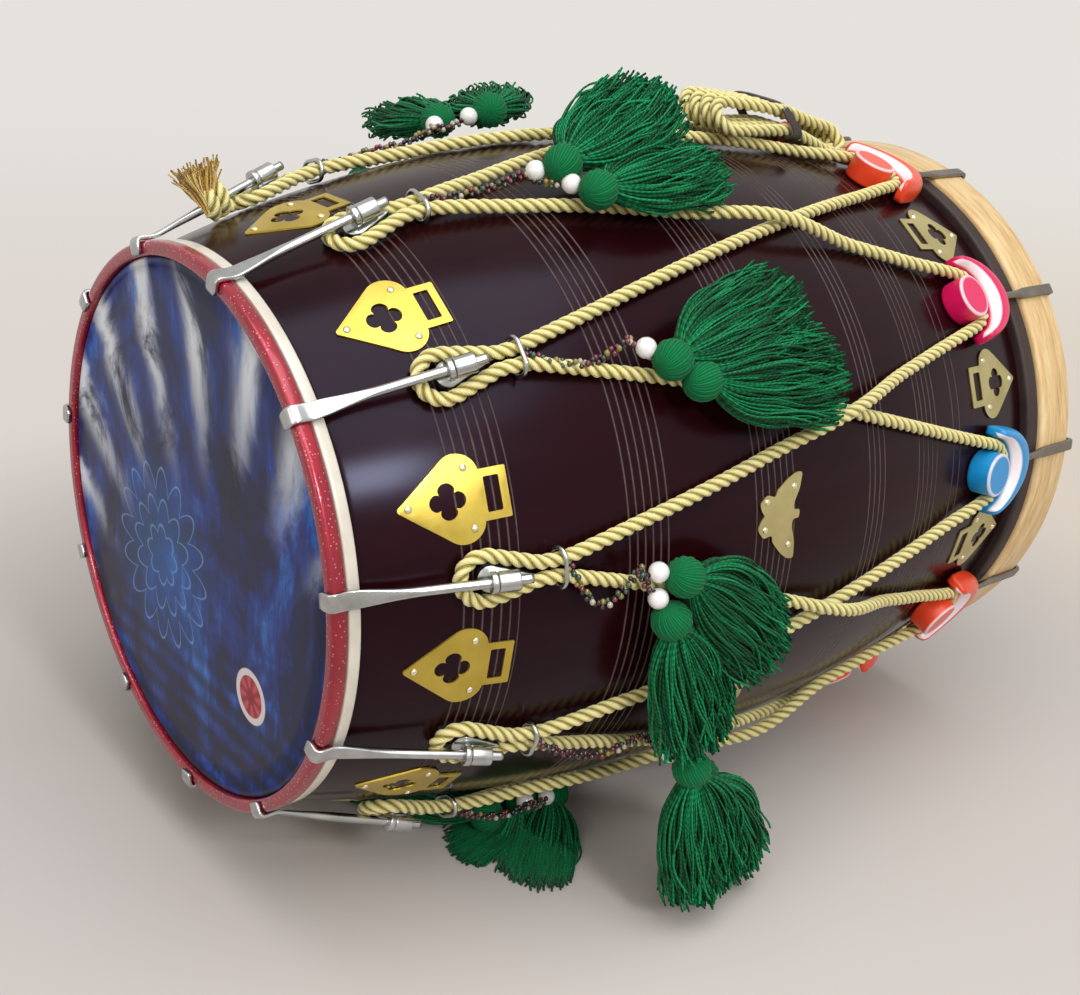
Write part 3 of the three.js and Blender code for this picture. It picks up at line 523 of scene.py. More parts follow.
def filmFinish():
    # a plain print: dark blue clouds, pale plumes, a line lotus and a small red rosette, with a painted
    # reflection of blinds low on the head
    f = Finish("filmPrint", Specular_IOR_Level=0.28)
    spot = f.place(centred=True)
    x, y, z = f.split(spot)

    def polar(centre):
        # distance and turn from a point of the head
        a, b = y + centre[0], z + centre[1]
        return (a * a + b * b).math("SQRT"), a.math("ARCTAN2", b)

    cloud = f.noise(spot, 9, 6, 0.62, distortion=1.6)
    streak = f.noise(f.place(centred=True, scale=(1, 0.35, 1.4)), 34, 4, 0.6, distortion=0.8)
    tone = f.ramp(cloud * 0.7 + streak * 0.3, film["clouds"])
    # low on the head, a painted reflection of blinds: level dark stripes, sin(2 pi z / their pitch)
    blindReflection = (z * (2 * math.pi / film["blindReflection"])).wave()
    tone = f.blend(blindReflection * f.step(z * -1, 0.04, 0.1) * 0.75, tone, film["blindReflectionDark"])
    # plumes: rays that fan from low on the near side, brighter with distance
    reach, fan = polar(film["plumes"])
    ray = (fan * 26 + cloud * 7).wave() ** 3
    tone = f.blend(ray * f.step(reach, 0.15, 0.25) * f.step(cloud, 0.36, 0.52), tone, film["plume"])
    # lotus: rings of petals, radius size * (0.72 + 0.28 |cos(petals / 2 * turn)|)
    away, bend = polar(film["lotus"])
    lotus = None
    for size, petals, phase in film["petals"]:
        edge = size * mm * (0.72 + 0.28 * abs((bend * (petals / 2) + phase).math("COSINE")))
        line = (1 - abs(away - edge) / (1.4 * mm)).math("MAXIMUM", 0.0)
        lotus = line if lotus is None else lotus + line
    tone = f.blend((lotus * 0.55).math("MINIMUM", 0.7), tone, film["petal"])
    tone = f.blend((1 - away / 0.075).math("MAXIMUM", 0.0) * 0.3, tone, film["heart"])
    # rosette: a red disc with pale spokes and rim
    gone, spin = polar(film["rosette"])
    spoke = (spin * 8).wave() * f.step(gone, 0.004, 0.006)
    disc = 1 - f.step(gone, 0.0165, 0.0175)
    tone = f.blend(disc, tone, f.blend(spoke, film["red"], film["spoke"]))
    tone = f.blend(disc * f.step(gone, 0.0125, 0.0132), tone, film["rim"])
    return f.cover(tone, 0.3 + 0.14 * streak, f.bump(cloud, 0.0012, 0.1))


def nylonFinish(name, main):
    f = Finish(name, Coat_Weight=0.2, Coat_Roughness=0.1)
    fine = f.noise(f.place(), 500, 3)
    tone = f.blend(fine * 0.1, f.blend(f.mark("band"), main, "fbeef0"), "4a1820")
    return f.cover(tone, 0.28 + 0.16 * fine, f.bump(fine, 0.0002, 0.25))


def yarnFinish(hollow, body, crest):
    f = Finish("greenYarn", Roughness=0.85, Specular_IOR_Level=0.2, Sheen_Weight=0.05, Sheen_Roughness=0.5)
    u, v, w = f.split(f.add("ShaderNodeUVMap"))
    twist = ((u + v) * (2 * math.pi)).wave()
    # the tone differs at random from strand to strand, with painted shade and painted highlight along each
    # yarn's twist
    tone = f.ramp(f.mark("strand") * 0.7 + twist * 0.3, [(0.1, hollow), (0.5, body), (0.9, crest)])
    return f.cover(tone, None, f.bump(twist, 0.0003, 0.6))


def frayFinish(hollow, body, crest):
    f = Finish("frayedNylon", Roughness=0.7, Sheen_Weight=0.2)
    fine = f.noise(f.place(), 400, 2)
    shade = f.mark("strand") * 0.6 + fine * 0.4
    return f.cover(f.ramp(shade, [(0.15, hollow), (0.5, body), (0.85, crest)]))


def seedBeadFinish():
    # each bead's own mark picks one of six colours
    f = Finish("seedBeads", Coat_Weight=0.5)
    tints = [(0.0, "3a1420"), (0.2, "6b1f2f"), (0.4, "1e1a1c"), (0.6, "8d7a3a"), (0.75, "2f4a38"),
             (0.9, "b9ad98")]
    fine = f.noise(f.place(), 800, 2)
    tone = f.blend(fine * 0.2, f.ramp(f.mark("tint"), tints, "CONSTANT"), "101010")
    return f.cover(tone, 0.15 + 0.2 * fine)


# the clouds and the grain of each metal
steel = (90, 3, 0.12), (4, 300, 2, 0.0001, 0.1)
brass = (50, 4, 0.2), (5, 500, 3, 0.0002, 0.2)
finishes = {
    "lacquer": lacquerFinish(), "film": filmFinish(), "skin": skinFinish(), "seed": seedBeadFinish(),
    "red": redHoopFinish("7d0a1e", "b01732", "eaa2ac"), "cane": caneFinish("b08650", "dcb980", "f0d8a8"),
    # the yarn's dark and pale colours are also its twist's painted shade and painted highlight
    "yarn": yarnFinish("002c16", "006636", "149158"), "fray": frayFinish("a87c2c", "e2b95a", "f5e39a"),
    "steel": cloudyFinish("brightSteel", "96999b", "cfd1d0", 0.18, *steel, Metallic=1.0),
    # the hooks' steel: darker and rougher than the rods'
    "darkSteel": cloudyFinish("dullSteel", "6f6a64", "9b958c", 0.34, *steel, Metallic=1.0),
    "brass": cloudyFinish("brassPlate", "a98c2c", "dcc561", 0.26, *brass, Metallic=0.9),
    "paleBrass": cloudyFinish("brassNails", "d8cfa4", "f6f1da", 0.14, *brass, Metallic=0.9),
    "dullBrass": cloudyFinish("brassButterfly", "aa9c62", "d8ce9a", 0.34, *brass, Metallic=0.9),
    "cream": cloudyFinish("creamEnamel", "c4bba8", "ece5d6", 0.3, (60, 3, 0.15), (1, 60, 3, 0.0003, 0.3),
                          Coat_Weight=0.5, Coat_Roughness=0.12, Metallic=0.1),
    "pearl": cloudyFinish("whiteBead", "d9d4cc", "fbfaf7", 0.22, (300, 3, 0.15),
                          Coat_Weight=0.6, Coat_Roughness=0.06),
    # the rope's and the tie's colours: painted shade for the hollows, the body, painted highlight for the
    # crests
    "rope": ropeFinish("ropeNylon", "7a6a26", "dccb76", "f6efac"),
    "tie": ropeFinish("tieCord", "0c0806", "2a1d16", "4a382c"),
    "yoke_vermilion": nylonFinish("nylonVermilion", "f0431a"),
    "yoke_magenta": nylonFinish("nylonMagenta", "e30a5c"),
    "yoke_blue": nylonFinish("nylonBlue", "0592d2"),
}
print("finishes made")


def turnedPiece(name, profile, finish, slot, node):
    # a profile that starts on the axis gets a cap at each end, any other closes on itself
    mesh = Mesh()
    profile = np.asarray(profile, float)
    if profile[0][1] > 1e-6:
        mesh.grid(turnedGrid(profile, drum["sides"]), rowLoop=True, columnLoop=True)
    else:
        profile[0][1] = profile[-1][1] = 0.02
        mesh.bar(turnedGrid(profile, drum["sides"]))
    mesh.build(name, finish, slot=slot, replaces=(node,))


def shellCurve(start, end, steps):
    x = np.linspace(start, end, steps)
    return np.stack([x, shellRadius(x)], -1)


def makeShell():
    # the barrel between the two seats that the heads' collars cover, and the inside of its wall
    d = drum
    trebleStep, bassStep = d["trebleSeatX"] + d["gap"], d["bassSeatX"] - d["gap"]
    treble = [(d["trebleEdgeX"], d["trebleSeat"] - d["seatDepth"]), (d["trebleEdgeX"], d["trebleSeat"]),
              (trebleStep, d["trebleSeat"]), (trebleStep, shellRadius(trebleStep)),
              (d["openFrom"], shellRadius(d["openFrom"]))]
    bass = [(d["openTo"], shellRadius(d["openTo"])), (bassStep, shellRadius(bassStep)),
            (bassStep, d["bassSeat"]), (d["bassEdgeX"], d["bassSeat"]),
            (d["bassEdgeX"], d["bassSeat"] - d["seatDepth"])]
    barrel = shellCurve(d["openFrom"] + 2, d["openTo"] - 2, 110)
    inner = shellCurve(d["bassEdgeX"], d["trebleEdgeX"], 30) - [0, d["wall"]]
    profile = np.concatenate([rounded(treble, 1.5, 4), barrel, rounded(bass, 1.5, 4), inner])
    turnedPiece("shellLacquered", profile, "lacquer", "lacquered_shell", "shell")


# corners of the heads' sections, along the drum and out from its axis
heads = {
    "filmFront": [(0, 156), (0, 161.2), (13.8, 161.2)], "filmBack": [(13.8, 160), (1.2, 160), (1.2, 150)],
    "hideLap": [(592.8, 172), (592.8, 184.7), (562.5, 184.7), (562.5, 197.2), (550, 197.2), (550, 182.7),
                (588, 182.7), (590.8, 178)],
}


def makeHeads():
    # a flat face in rings out from the axis, the bent collar, and back inside to the axis
    front, back = rounded(heads["filmFront"], 3, 6), rounded(heads["filmBack"], 2.5, 5)
    face = [(0, r) for r in (0, *np.linspace(12, 156, 13))]
    profile = np.concatenate([face, front, back, [(heads["filmBack"][-1][0], 0)]])
    turnedPiece("trebleFilm", profile, "film", "film", "treble_head")
    lap = heads["hideLap"]
    face = [(lap[0][0], r) for r in (0, *np.linspace(14, 168, 12))]
    profile = np.concatenate([face, rounded(lap, 3, 6), [(lap[-1][0], 0)]])
    turnedPiece("bassSkin", profile, "skin", "skin", "bass_head")


# each hoop's start, end, inner and outer radius, edge and its steps, finish, slot and node
hoops = {
    "trebleRedHoop": (-3.2, 6.3, 161.5, 170, 3.2, 7, "red", "red_hoop", "treble_counter_hoop"),
    "trebleCreamHoop": (6.6, 14.1, 161.5, 169.5, 1.6, 5, "cream", "flesh_hoop_metal", "treble_flesh_hoop"),
    "bassCaneHoop": (562.8, 596.8, 185, 200, 4.0, 7, "cane", "cane_hoop", "bass_counter_hoop"),
}


def makeHoops():
    for name, (start, end, inner, outer, edge, steps, finish, slot, node) in hoops.items():
        section = closedRounded([(start, inner), (start, outer), (end, outer), (end, inner)], edge, steps)
        turnedPiece(name, section, finish, slot, node)


makeShell()
makeHeads()
makeHoops()
print("shell, heads and hoops made")

claw = {
    "hoop": 170, "hoopBack": 6.3, "wall": 2.8, "width": 10, "neck": 6.6, "taper": 34, "lip": 8, "rod": 2.7,
    "noseRadius": 8, "thimbleDepth": 5.8, "thimbleTail": 22, "cheekWidth": 4.2, "cheekWall": 1.75,
    "collar": 6.2, "collarWidth": 3.5, "nut": 5.7, "nutLength": 12, "tip": 7, "spare": 1.2,
    "bightAt": 59, "ropeRadius": 4.3, "legGap": 1.0, "step": 1.6,
}
wrapRadius = claw["noseRadius"] + drum["gap"] + claw["ropeRadius"]
bightX = claw["bightAt"] + claw["ropeRadius"]
noseX = bightX + wrapRadius
rodStart = np.array([claw["hoopBack"], 0, claw["hoop"] + drum["gap"] + claw["wall"] / 2])
rodOver = shellRadius(bightX) + 2 * drum["gap"] + 2 * claw["ropeRadius"] + claw["rod"] + claw["spare"]
rodSlope = math.atan2(rodOver - rodStart[2], bightX - rodStart[0])
collarAt = (noseX - rodStart[0]) / math.cos(rodSlope)
nutStart = collarAt + claw["collarWidth"] / 2 + drum["gap"]
rodEnd = nutStart + claw["nutLength"] + claw["tip"]


def onRod(points):
    # from along the rod, tangent, outward of the rod to the lug's frame
    along, tangent, outward = np.moveaxis(np.asarray(points, float), -1, 0)
    return np.stack([rodStart[0] + along * math.cos(rodSlope) - outward * math.sin(rodSlope), tangent,
                     rodStart[2] + along * math.sin(rodSlope) + outward * math.cos(rodSlope)], -1)


def onRodTurned(profile, sides=24):
    # each point (along, radius) carried round the rod's own line
    along, radius = np.asarray(profile, float).T
    turn = np.arange(sides) * 2 * math.pi / sides
    a, r, t = np.broadcast_arrays(along[:, None], radius[:, None], turn[None, :])
    return onRod(np.stack([a, r * np.sin(t), r * np.cos(t)], -1))


def clawGrids():
    # a flat strap hooked over the hoops, which eases into a round rod towards its end
    c = claw
    front = -drum["hoopStand"] - drum["gap"] - c["wall"] / 2
    path, reference = bentLine([(front, c["hoop"] + drum["gap"] - c["lip"]), (front, rodStart[2]),
                                rodStart[[0, 2]], onRod([rodEnd, 0, 0])[[0, 2]]], c["step"])
    length = np.arange(len(path)) * c["step"]
    start = length[-1] - rodEnd
    share = smooth(length, start + 4, start + c["taper"] + 6)
    narrow = smooth(length, start - 2, start + c["taper"])
    wide = c["width"] / 2 * (1 - narrow) + c["neck"] / 2 * narrow
    wide = (wide * (1 - share) + c["rod"] * share) * (0.86 + 0.14 * smooth(length, 0, 3))
    high = c["wall"] / 2 * (1 - share) + c["rod"] * share
    strap = carried(path, reference, wide, high, 7 - 5 * share, 20)
    tip = onRodTurned([(rodEnd, c["rod"]), (rodEnd + 0.8, c["rod"] * 0.55)])
    before, after = collarAt - c["collarWidth"] / 2, collarAt + c["collarWidth"] / 2
    collar = rounded([(before, 1), (before, c["collar"]), (after, c["collar"]), (after, 1)], 0.8, 4)
    # the thimble: a flat-bottomed boat whose rounded nose the rope turns round, its plan
    # drawn in by 0.1 * (1 - level^2) between its bottom and its top
    turn = np.linspace(math.pi / 2, 3 * math.pi / 2, 15)
    nose = np.stack([collarAt + c["noseRadius"] * np.cos(turn), c["noseRadius"] * np.sin(turn)], -1)
    tail = collarAt + c["thimbleTail"]
    outline = np.concatenate([nose, np.linspace(nose[-1], (tail, -0.8), 8)[1:],
                              np.linspace((tail, 0.8), nose[0], 8)[:-1]])
    middle = np.array([collarAt + 3, 0])
    level = np.linspace(-1, 1, 9)
    inset = np.where(np.abs(level) > 0.99, 0.1, 0.0) + 0.10 * (1 - level ** 2)
    plan = middle + (outline[None] - middle) * (1 - inset)[:, None, None]
    top = -c["nut"] - drum["gap"]
    height = top - c["thimbleDepth"] / 2 + level * c["thimbleDepth"] / 2
    boat = onRod(np.concatenate([plan, np.broadcast_to(height[:, None, None], (*plan.shape[:2], 1))], -1))
    line = onRod(np.array([[collarAt, 0, z] for z in np.linspace(top - 2, 0, 6)]))
    cheek = carried(line, np.array([1.0, 0, 0]), c["cheekWidth"], c["cheekWall"], 5, 16)
    return strap, onRodTurned(collar), boat, cheek, tip


def nutGrid():
    # a bored nut: a closed section turned round the rod's line
    c = claw
    end = nutStart + c["nutLength"]
    bore, mouth = c["rod"] + 0.3, c["rod"] + 0.6
    section = rounded([(nutStart + 1, bore), (nutStart, mouth), (nutStart, c["nut"]), (end, c["nut"]),
                       (end, mouth), (end - 1, bore)], 1.0, 5)
    return onRodTurned(section, 28)


ring = {"x": 117, "wire": 1.3, "gap": 0.7, "spread": 0.4, "travel": 10}
legSide = claw["ropeRadius"] + ring["spread"]
ringBend = claw["ropeRadius"] + ring["gap"] + ring["wire"]
ringLift = ringBend + ring["wire"] + 2 * drum["gap"]


def ringGrid():
    # a round wire along two half circles, one beside each leg of the rope
    turn = np.linspace(-math.pi / 2, math.pi / 2, 15)
    half = np.stack([0 * turn, legSide + ringBend * np.cos(turn), ringBend * np.sin(turn)], -1)
    path = np.concatenate([half, -half]) + [ring["x"], 0, shellRadius(ring["x"]) + ringLift]
    return carried(path, np.array([1.0, 0, 0]), ring["wire"], ring["wire"], 2, 10, looped=True)


def makeRodsAndRings():
    grids = clawGrids()
    for lug in range(drum["lugs"]):
        number = f"{lug + 1:02d}"
        turn = rodTurn(lug)
        rod, nut, loop = Mesh(), Mesh(), Mesh()
        for part in grids:
            rod.grid(fromLug(part, turn), columnLoop=True, caps=(part is not grids[-1], True))
        rod.build(f"clawRod_{number}", "steel", slot="steel", replaces=(f"claw_rod_{number}",))
        nut.grid(fromLug(nutGrid(), turn), rowLoop=True, columnLoop=True)
        nut.build(f"tuningNut_{number}", "steel", f"nut_{number}", "steel", (f"tuning_nut_{number}",))
        loop.grid(fromLug(ringGrid(), turn), rowLoop=True, columnLoop=True)
        loop.build(f"slideRing_{number}", "steel", f"ring_{number}", "steel", (f"slide_ring_{number}",))


makeRodsAndRings()
print("claw rods, nuts and rings made")

yoke = {
    "x": 487.8, "core": 15, "armEnd": 7, "nose": 28, "height": 17, "tail": 5, "webWall": 3, "webWidth": 20,
    "hookWall": 3, "strapWidth": 7.5, "hookLip": 9, "shank": 2.5, "hoopRadius": 200, "hoopStart": 562.8,
    "hoopEnd": 596.8, "colors": ["vermilion", "magenta", "blue", "vermilion"], "steps": 33,
    "endSlide": [1, 0.96, 0.8, 0.5], "endSize": [0.4, 0.62, 0.8, 0.94],
}
yokeLift = drum["gap"] + yoke["height"] / 2
yokeWrap = yoke["core"] + drum["gap"] + claw["ropeRadius"]
yokeSeat = float(shellRadius(yoke["x"])) + yokeLift
legAngle = math.atan(lugPitch * yokeSeat / (yoke["x"] - ring["x"]))
grooveOut = yokeWrap + claw["ropeRadius"] + drum["gap"]


def onYoke(points):
    # the yoke lies on the shell's slope
    tilt = math.atan(float(shellSlope(yoke["x"])))
    x, tangent, outward = np.moveaxis(np.asarray(points, float), -1, 0)
    return np.stack([yoke["x"] + x * math.cos(tilt) - outward * math.sin(tilt), tangent,
                     yokeSeat + x * math.sin(tilt) + outward * math.cos(tilt)], -1)


def armGrid():
    # a section (across, up) swept round the groove, its outer edge on the ellipse
    # (x / (groove + nose))^2 + (y / (groove + armEnd))^2 = 1, and eased at both ends
    y = yoke
    section = closedRounded([(-1, -1), (-1, 0.35), (-0.45, 1), (0.45, 1), (1, 0.2), (0.9, -1)], 0.45, 6)
    section = dense(np.concatenate([section, section[:1]]), 0.14)[:-1]
    turn = np.linspace(1, -1, y["steps"]) * (math.pi / 2 - legAngle)
    turn = np.pad(turn, len(y["endSlide"]), "edge")
    slide = np.concatenate([y["endSlide"], np.zeros(y["steps"]), y["endSlide"][::-1]])[:, None] * y["tail"]
    size = np.concatenate([y["endSize"], np.ones(y["steps"]), y["endSize"][::-1]])[:, None]
    away = np.stack([np.cos(turn), np.sin(turn)], -1)
    tail = np.stack([np.full_like(turn, -math.cos(legAngle)), np.sign(turn) * math.sin(legAngle)], -1)
    outer = 1 / np.hypot(away[:, :1] / (grooveOut + y["nose"]), away[:, 1:] / (grooveOut + y["armEnd"]))
    middle = away * (grooveOut + outer) / 2 + tail * slide
    across = (outer - grooveOut) / 2 * size * section[:, 0]
    high = size * y["height"] / 2 * section[:, 1]
    flat = middle[:, None] + across[..., None] * away[:, None]
    # the pale band runs round the shoulder over the groove
    band = smooth(section[:, 0], -0.98, -0.86) * (1 - smooth(section[:, 0], -0.42, -0.3))
    return onYoke(np.concatenate([flat, high[..., None]], -1)), band * smooth(section[:, 1], 0.2, 0.4)


def coreGrid():
    # a profile (up, across) turned round the core's own line, with a thin pale rim
    half, radius = yoke["height"] / 2, yoke["core"]
    profile = rounded([(-half, 0.3), (-half, radius), (half - 3.4, radius), (half, radius),
                       (half, radius - 4), (half, 0.3)], 2.4, 6)
    up, across = profile.T
    spin = np.arange(36) * 2 * math.pi / 36
    u, r, t = np.broadcast_arrays(up[:, None], across[:, None], spin)
    band = 0.7 * smooth(across, radius - 2.4, radius - 1.6) * smooth(up, half - 1.8, half - 1.0)
    return onYoke(np.stack([r * np.cos(t), r * np.sin(t), u], -1)), band[:, None]


def webGrid():
    # a flat bar from the core's middle to the arms
    low = (yoke["webWall"] - yoke["height"]) / 2
    path = np.stack([np.linspace(0, grooveOut + yoke["webWall"], 4), np.zeros(4), np.full(4, low)], -1)
    return onYoke(carried(path, np.array([0, 0, 1.0]), yoke["webWidth"] / 2, yoke["webWall"] / 2, 8, 20))


def hookGrid():
    # a round shank that eases into a flat strap over the hoop
    y = yoke
    reach = grooveOut + y["nose"] - 2 * y["shank"]
    apex = np.array([y["x"] + reach, yokeSeat + float(shellSlope(y["x"])) * reach])
    low = y["hoopRadius"] + drum["gap"] + y["hookWall"] / 2
    back = y["hoopEnd"] + drum["gap"] + y["hookWall"] / 2
    path, reference = bentLine([apex, (y["hoopStart"] - 2, low), (back, low),
                                (back, low - y["hookLip"] - y["hookWall"] / 2)], 1.5)
    share = smooth(path[:, 0], y["hoopStart"] - 7, y["hoopStart"] + 2)
    wide = y["shank"] * (1 - share) + y["strapWidth"] / 2 * share
    high = y["shank"] * (1 - share) + y["hookWall"] / 2 * share
    return carried(path, reference, wide, high, 2 + 5 * share, 18)


def makeYokes():
    (arms, armBand), (core, coreBand) = armGrid(), coreGrid()
    web, hook = webGrid(), hookGrid()
    for lug in range(drum["lugs"]):
        number = f"{lug + 1:02d}"
        turn = yokeTurn(lug)
        slot = "yoke_" + yoke["colors"][(lug + 2) % 4]
        piece, metal = Mesh(), Mesh()
        for grid, band in ((arms, armBand), (core, coreBand), (web, 0.0)):
            piece.bar(fromLug(grid, turn), marks={"band": band})
        piece.build(f"bassYoke_{number}", slot, slot=slot, replaces=(f"bass_yoke_{number}",))
        metal.bar(fromLug(hook, turn))
        metal.build(f"yokeHook_{number}", "darkSteel", slot="steel")


makeYokes()
print("yokes made")

rope = {"radius": 4.3, "pitch": 21.0, "step": 2.0, "ease": 55, "over": 1.56, "overReach": 70, "sides": 15,
        "lay": 0.46}
restLift = claw["ropeRadius"] + claw["legGap"]
joinX = ring["x"] - ring["wire"] - ring["travel"]
legStartX = ring["x"] + 2 * ring["wire"]
legEndX = yoke["x"] + yokeWrap * math.sin(legAngle)
startTurn = legSide / (float(shellRadius(ring["x"])) + ringLift)
endTurn = yokeWrap * math.cos(legAngle) / yokeSeat
crossShare = (lugPitch - 2 * startTurn) / (2 * (lugPitch - startTurn - endTurn))
crossX = legStartX + crossShare * (legEndX - legStartX)


def legPath(rodLug, yokeLug, over):
    # straight in x and turn, eased from the ring's lift down to the shell, humped over its neighbour
    way = math.copysign(1, yokeLug - rodLug)
    start = rodTurn(rodLug) + way * startTurn
    end = yokeTurn(yokeLug) - way * endTurn
    x = np.linspace(legStartX, legEndX, 56)
    turn = start + (end - start) * (x - legStartX) / (legEndX - legStartX)
    lift = restLift + (ringLift - restLift) * (1 - smooth(x, legStartX, legStartX + rope["ease"]))
    lift = lift + (yokeLift - restLift) * smooth(x, legEndX - rope["ease"], legEndX)
    near = np.clip(1 - np.abs(x - crossX) / rope["overReach"], 0, 1)
    if over:
        lift = lift + (2 * rope["radius"] + rope["over"]) * np.sin(near * math.pi / 2) ** 2
    return aroundDrum(x, turn, shellRadius(x) + lift)


def bightPath(lug):
    # straight from the ring, round the thimble's nose and straight back
    reach = math.hypot(joinX - noseX, legSide)
    touch = math.atan2(legSide, joinX - noseX) + math.acos(wrapRadius / reach)
    angle = np.linspace(-touch, touch - 2 * math.pi, 28)
    x, side = noseX + wrapRadius * np.cos(angle), wrapRadius * np.sin(angle)
    x = np.concatenate([np.linspace(joinX, x[0], 8)[:-1], x, np.linspace(x[-1], joinX, 8)[1:]])
    side = np.concatenate([np.linspace(-legSide, side[0], 8)[:-1], side,
                           np.linspace(side[-1], legSide, 8)[1:]])
    share = np.clip((x - claw["bightAt"]) / (joinX - claw["bightAt"]), 0, 1)
    radius = shellRadius(x) + restLift + (ringLift - restLift) * share
    return aroundDrum(x, rodTurn(lug) + side / radius, radius)


def yokePath(lug):
    # an arc round the yoke's core, on the shell's slope
    angle = (math.pi / 2 - legAngle) * np.linspace(-1, 1, 14)[1:-1]
    x = yoke["x"] + yokeWrap * np.cos(angle)
    radius = shellRadius(yoke["x"]) + shellSlope(yoke["x"]) * (x - yoke["x"]) + yokeLift
    return aroundDrum(x, yokeTurn(lug) + yokeWrap * np.sin(angle) / radius, radius)


def crossesOver(rodLug, yokeLug):
    # the crossings alternate round the drum
    crossing = (min(rodLug, yokeLug) + drum["lugs"]) % drum["lugs"]
    forward = yokeLug > rodLug
    return forward if crossing % 2 == 0 else not forward


def lacingPath():
    # rod, leg, yoke and leg again, two lugs on each time, until it meets its start
    parts = []
    for i in range(drum["lugs"]):
        lug = (2 * i) % drum["lugs"]
        back = lug + 2
        home = back % drum["lugs"]
        parts += [bightPath(lug), legPath(lug, lug + 1, crossesOver(lug, lug + 1)), yokePath(lug + 1),
                  legPath(back, lug + 1, crossesOver(home, home - 1))[::-1]]
    return np.concatenate(parts)


def makeTwisted(name, finish, path, reference, radius, pitch, looped=False, **more):
    # three strands laid together: the section's edge is the outermost of three circles,
    # turned once in each pitch of length
    step = np.linalg.norm(np.diff(path, axis=0), axis=1).mean()
    total = step * (len(path) if looped else len(path) - 1)
    turns = round(total / pitch) if looped else total / pitch
    twist = np.arange(len(path)) / len(path) * turns * 2 * math.pi
    angle = np.arange(rope["sides"]) * 2 * math.pi / rope["sides"]
    local = (angle + math.pi / 3) % (2 * math.pi / 3) - math.pi / 3
    offset, strand = rope["lay"] * radius, (1 - rope["lay"]) * radius
    edge = offset * np.cos(local) + np.sqrt(strand ** 2 - (offset * np.sin(local)) ** 2)
    # how far out each point of the section stands, from which the rope's finish paints shade in the hollows
    # and a highlight on the crests
    crest = (edge - edge.min()) / (edge.max() - edge.min())
    along = np.roll(path, -1, 0) - np.roll(path, 1, 0) if looped else np.gradient(path, axis=0)
    side, up = sideAndUp(unit(along), reference)
    turn = (angle[None, :] + twist[:, None])[..., None]
    grid = path[:, None] + edge[None, :, None] * (np.cos(turn) * up[:, None] + np.sin(turn) * side[:, None])
    mesh, ended = Mesh(), not looped
    mesh.grid(grid, looped, True, caps=(ended, ended), uv=(total, 1), marks={"crest": crest})
    mesh.build(name, finish, **more)
    return total / 1000


def makeLacing():
    path = lacingPath()
    path = dense(np.concatenate([path, path[:1]]), rope["step"])[:-1]
    length = makeTwisted("lacingRope", "rope", path, outwardOf(path), rope["radius"], rope["pitch"], True,
                         slot="rope", replaces=("lacing_rope",))
    print(f"lacing rope {length:.2f} m long")


spare = {
    "lug": 1.57, "lean": math.radians(42), "middle": 438.8, "run": 112, "bend": 11, "pitch": 10.2,
    "loops": 4, "waist": 2.5, "ease": (-0.02, 0.5), "tie": 1.3, "tieTurns": 4, "tieWide": 9, "tiePitch": 5,
}
spareTurn = (spare["lug"] - drum["bottomLug"]) * lugPitch
spareNear = aroundDrum(0, spareTurn + math.pi / 2, 1)


def onHank(along, high, near):
    # the plane of the hank's loops leans back; it lies on the legs, then comes down to the shell
    s = spare
    x = s["middle"] + along
    low, top = (s["middle"] + share * s["run"] for share in s["ease"])
    lift = drum["gap"] + (restLift + rope["radius"]) * (1 - smooth(x, low, top))
    rise = shellRadius(x) + lift + rope["radius"] + (s["bend"] + high) * math.cos(s["lean"])
    return aroundDrum(x, spareTurn, rise) + (near - high * math.sin(s["lean"]))[:, None] * spareNear


def hankPath():
    # two runs joined by half circles, a pitch nearer with each loop, drawn in by
    # waist * cos(pi * along / run)^2 under the tie, from waist to waist
    s = spare
    corner = []
    for end in (1, -1):
        turn = np.linspace(0, math.pi, 13)
        bend = [end * (s["run"] / 2 + s["bend"] * np.sin(turn)), end * s["bend"] * np.cos(turn)]
        corner.append(np.stack([*bend, np.full(13, (1 - end) / 4)], -1))
        share = np.arange(1, 12) / 12
        along = s["run"] * (0.5 - share)
        drawn = s["waist"] * np.cos(math.pi * along / s["run"]) ** 2
        corner.append(np.stack([end * along, -end * (s["bend"] - drawn), (1 - end) / 4 + share / 2], -1))
    corner = np.concatenate(corner)
    place = len(corner) - 6 + np.arange(s["loops"] * len(corner) + 1)
    along, high, climb = corner[place % len(corner)].T
    return onHank(along, high, s["pitch"] * (place // len(corner) + climb - 1 - s["loops"] / 2))


def makeSpareRope():
    s = spare
    length = makeTwisted("spareRope", "rope", dense(hankPath(), rope["step"]), spareNear, rope["radius"],
                         rope["pitch"], slot="rope", replaces=("spare_rope",))
    print(f"spare rope {length:.2f} m long")
    # the tie: turns of dark cord on a square-cornered oval round the waist
    turn = np.linspace(0, 2 * math.pi * s["tieTurns"], s["tieTurns"] * 40)
    half = s["pitch"] * s["loops"] / 2 + rope["radius"] + s["tie"]
    high = s["bend"] - s["waist"] + rope["radius"] + s["tie"]
    c, k = np.cos(turn), np.sin(turn)
    near = half * np.sign(c) * np.abs(c) ** 0.5 - s["pitch"] / 4
    along = turn / turn[-1] * s["tieWide"] - s["tieWide"] / 2
    path = dense(onHank(along, high * np.sign(k) * np.abs(k) ** 0.5, near), 1.2)
    makeTwisted("spareRopeTie", "tie", path, np.array([1.0, 0, 0]), s["tie"], s["tiePitch"])


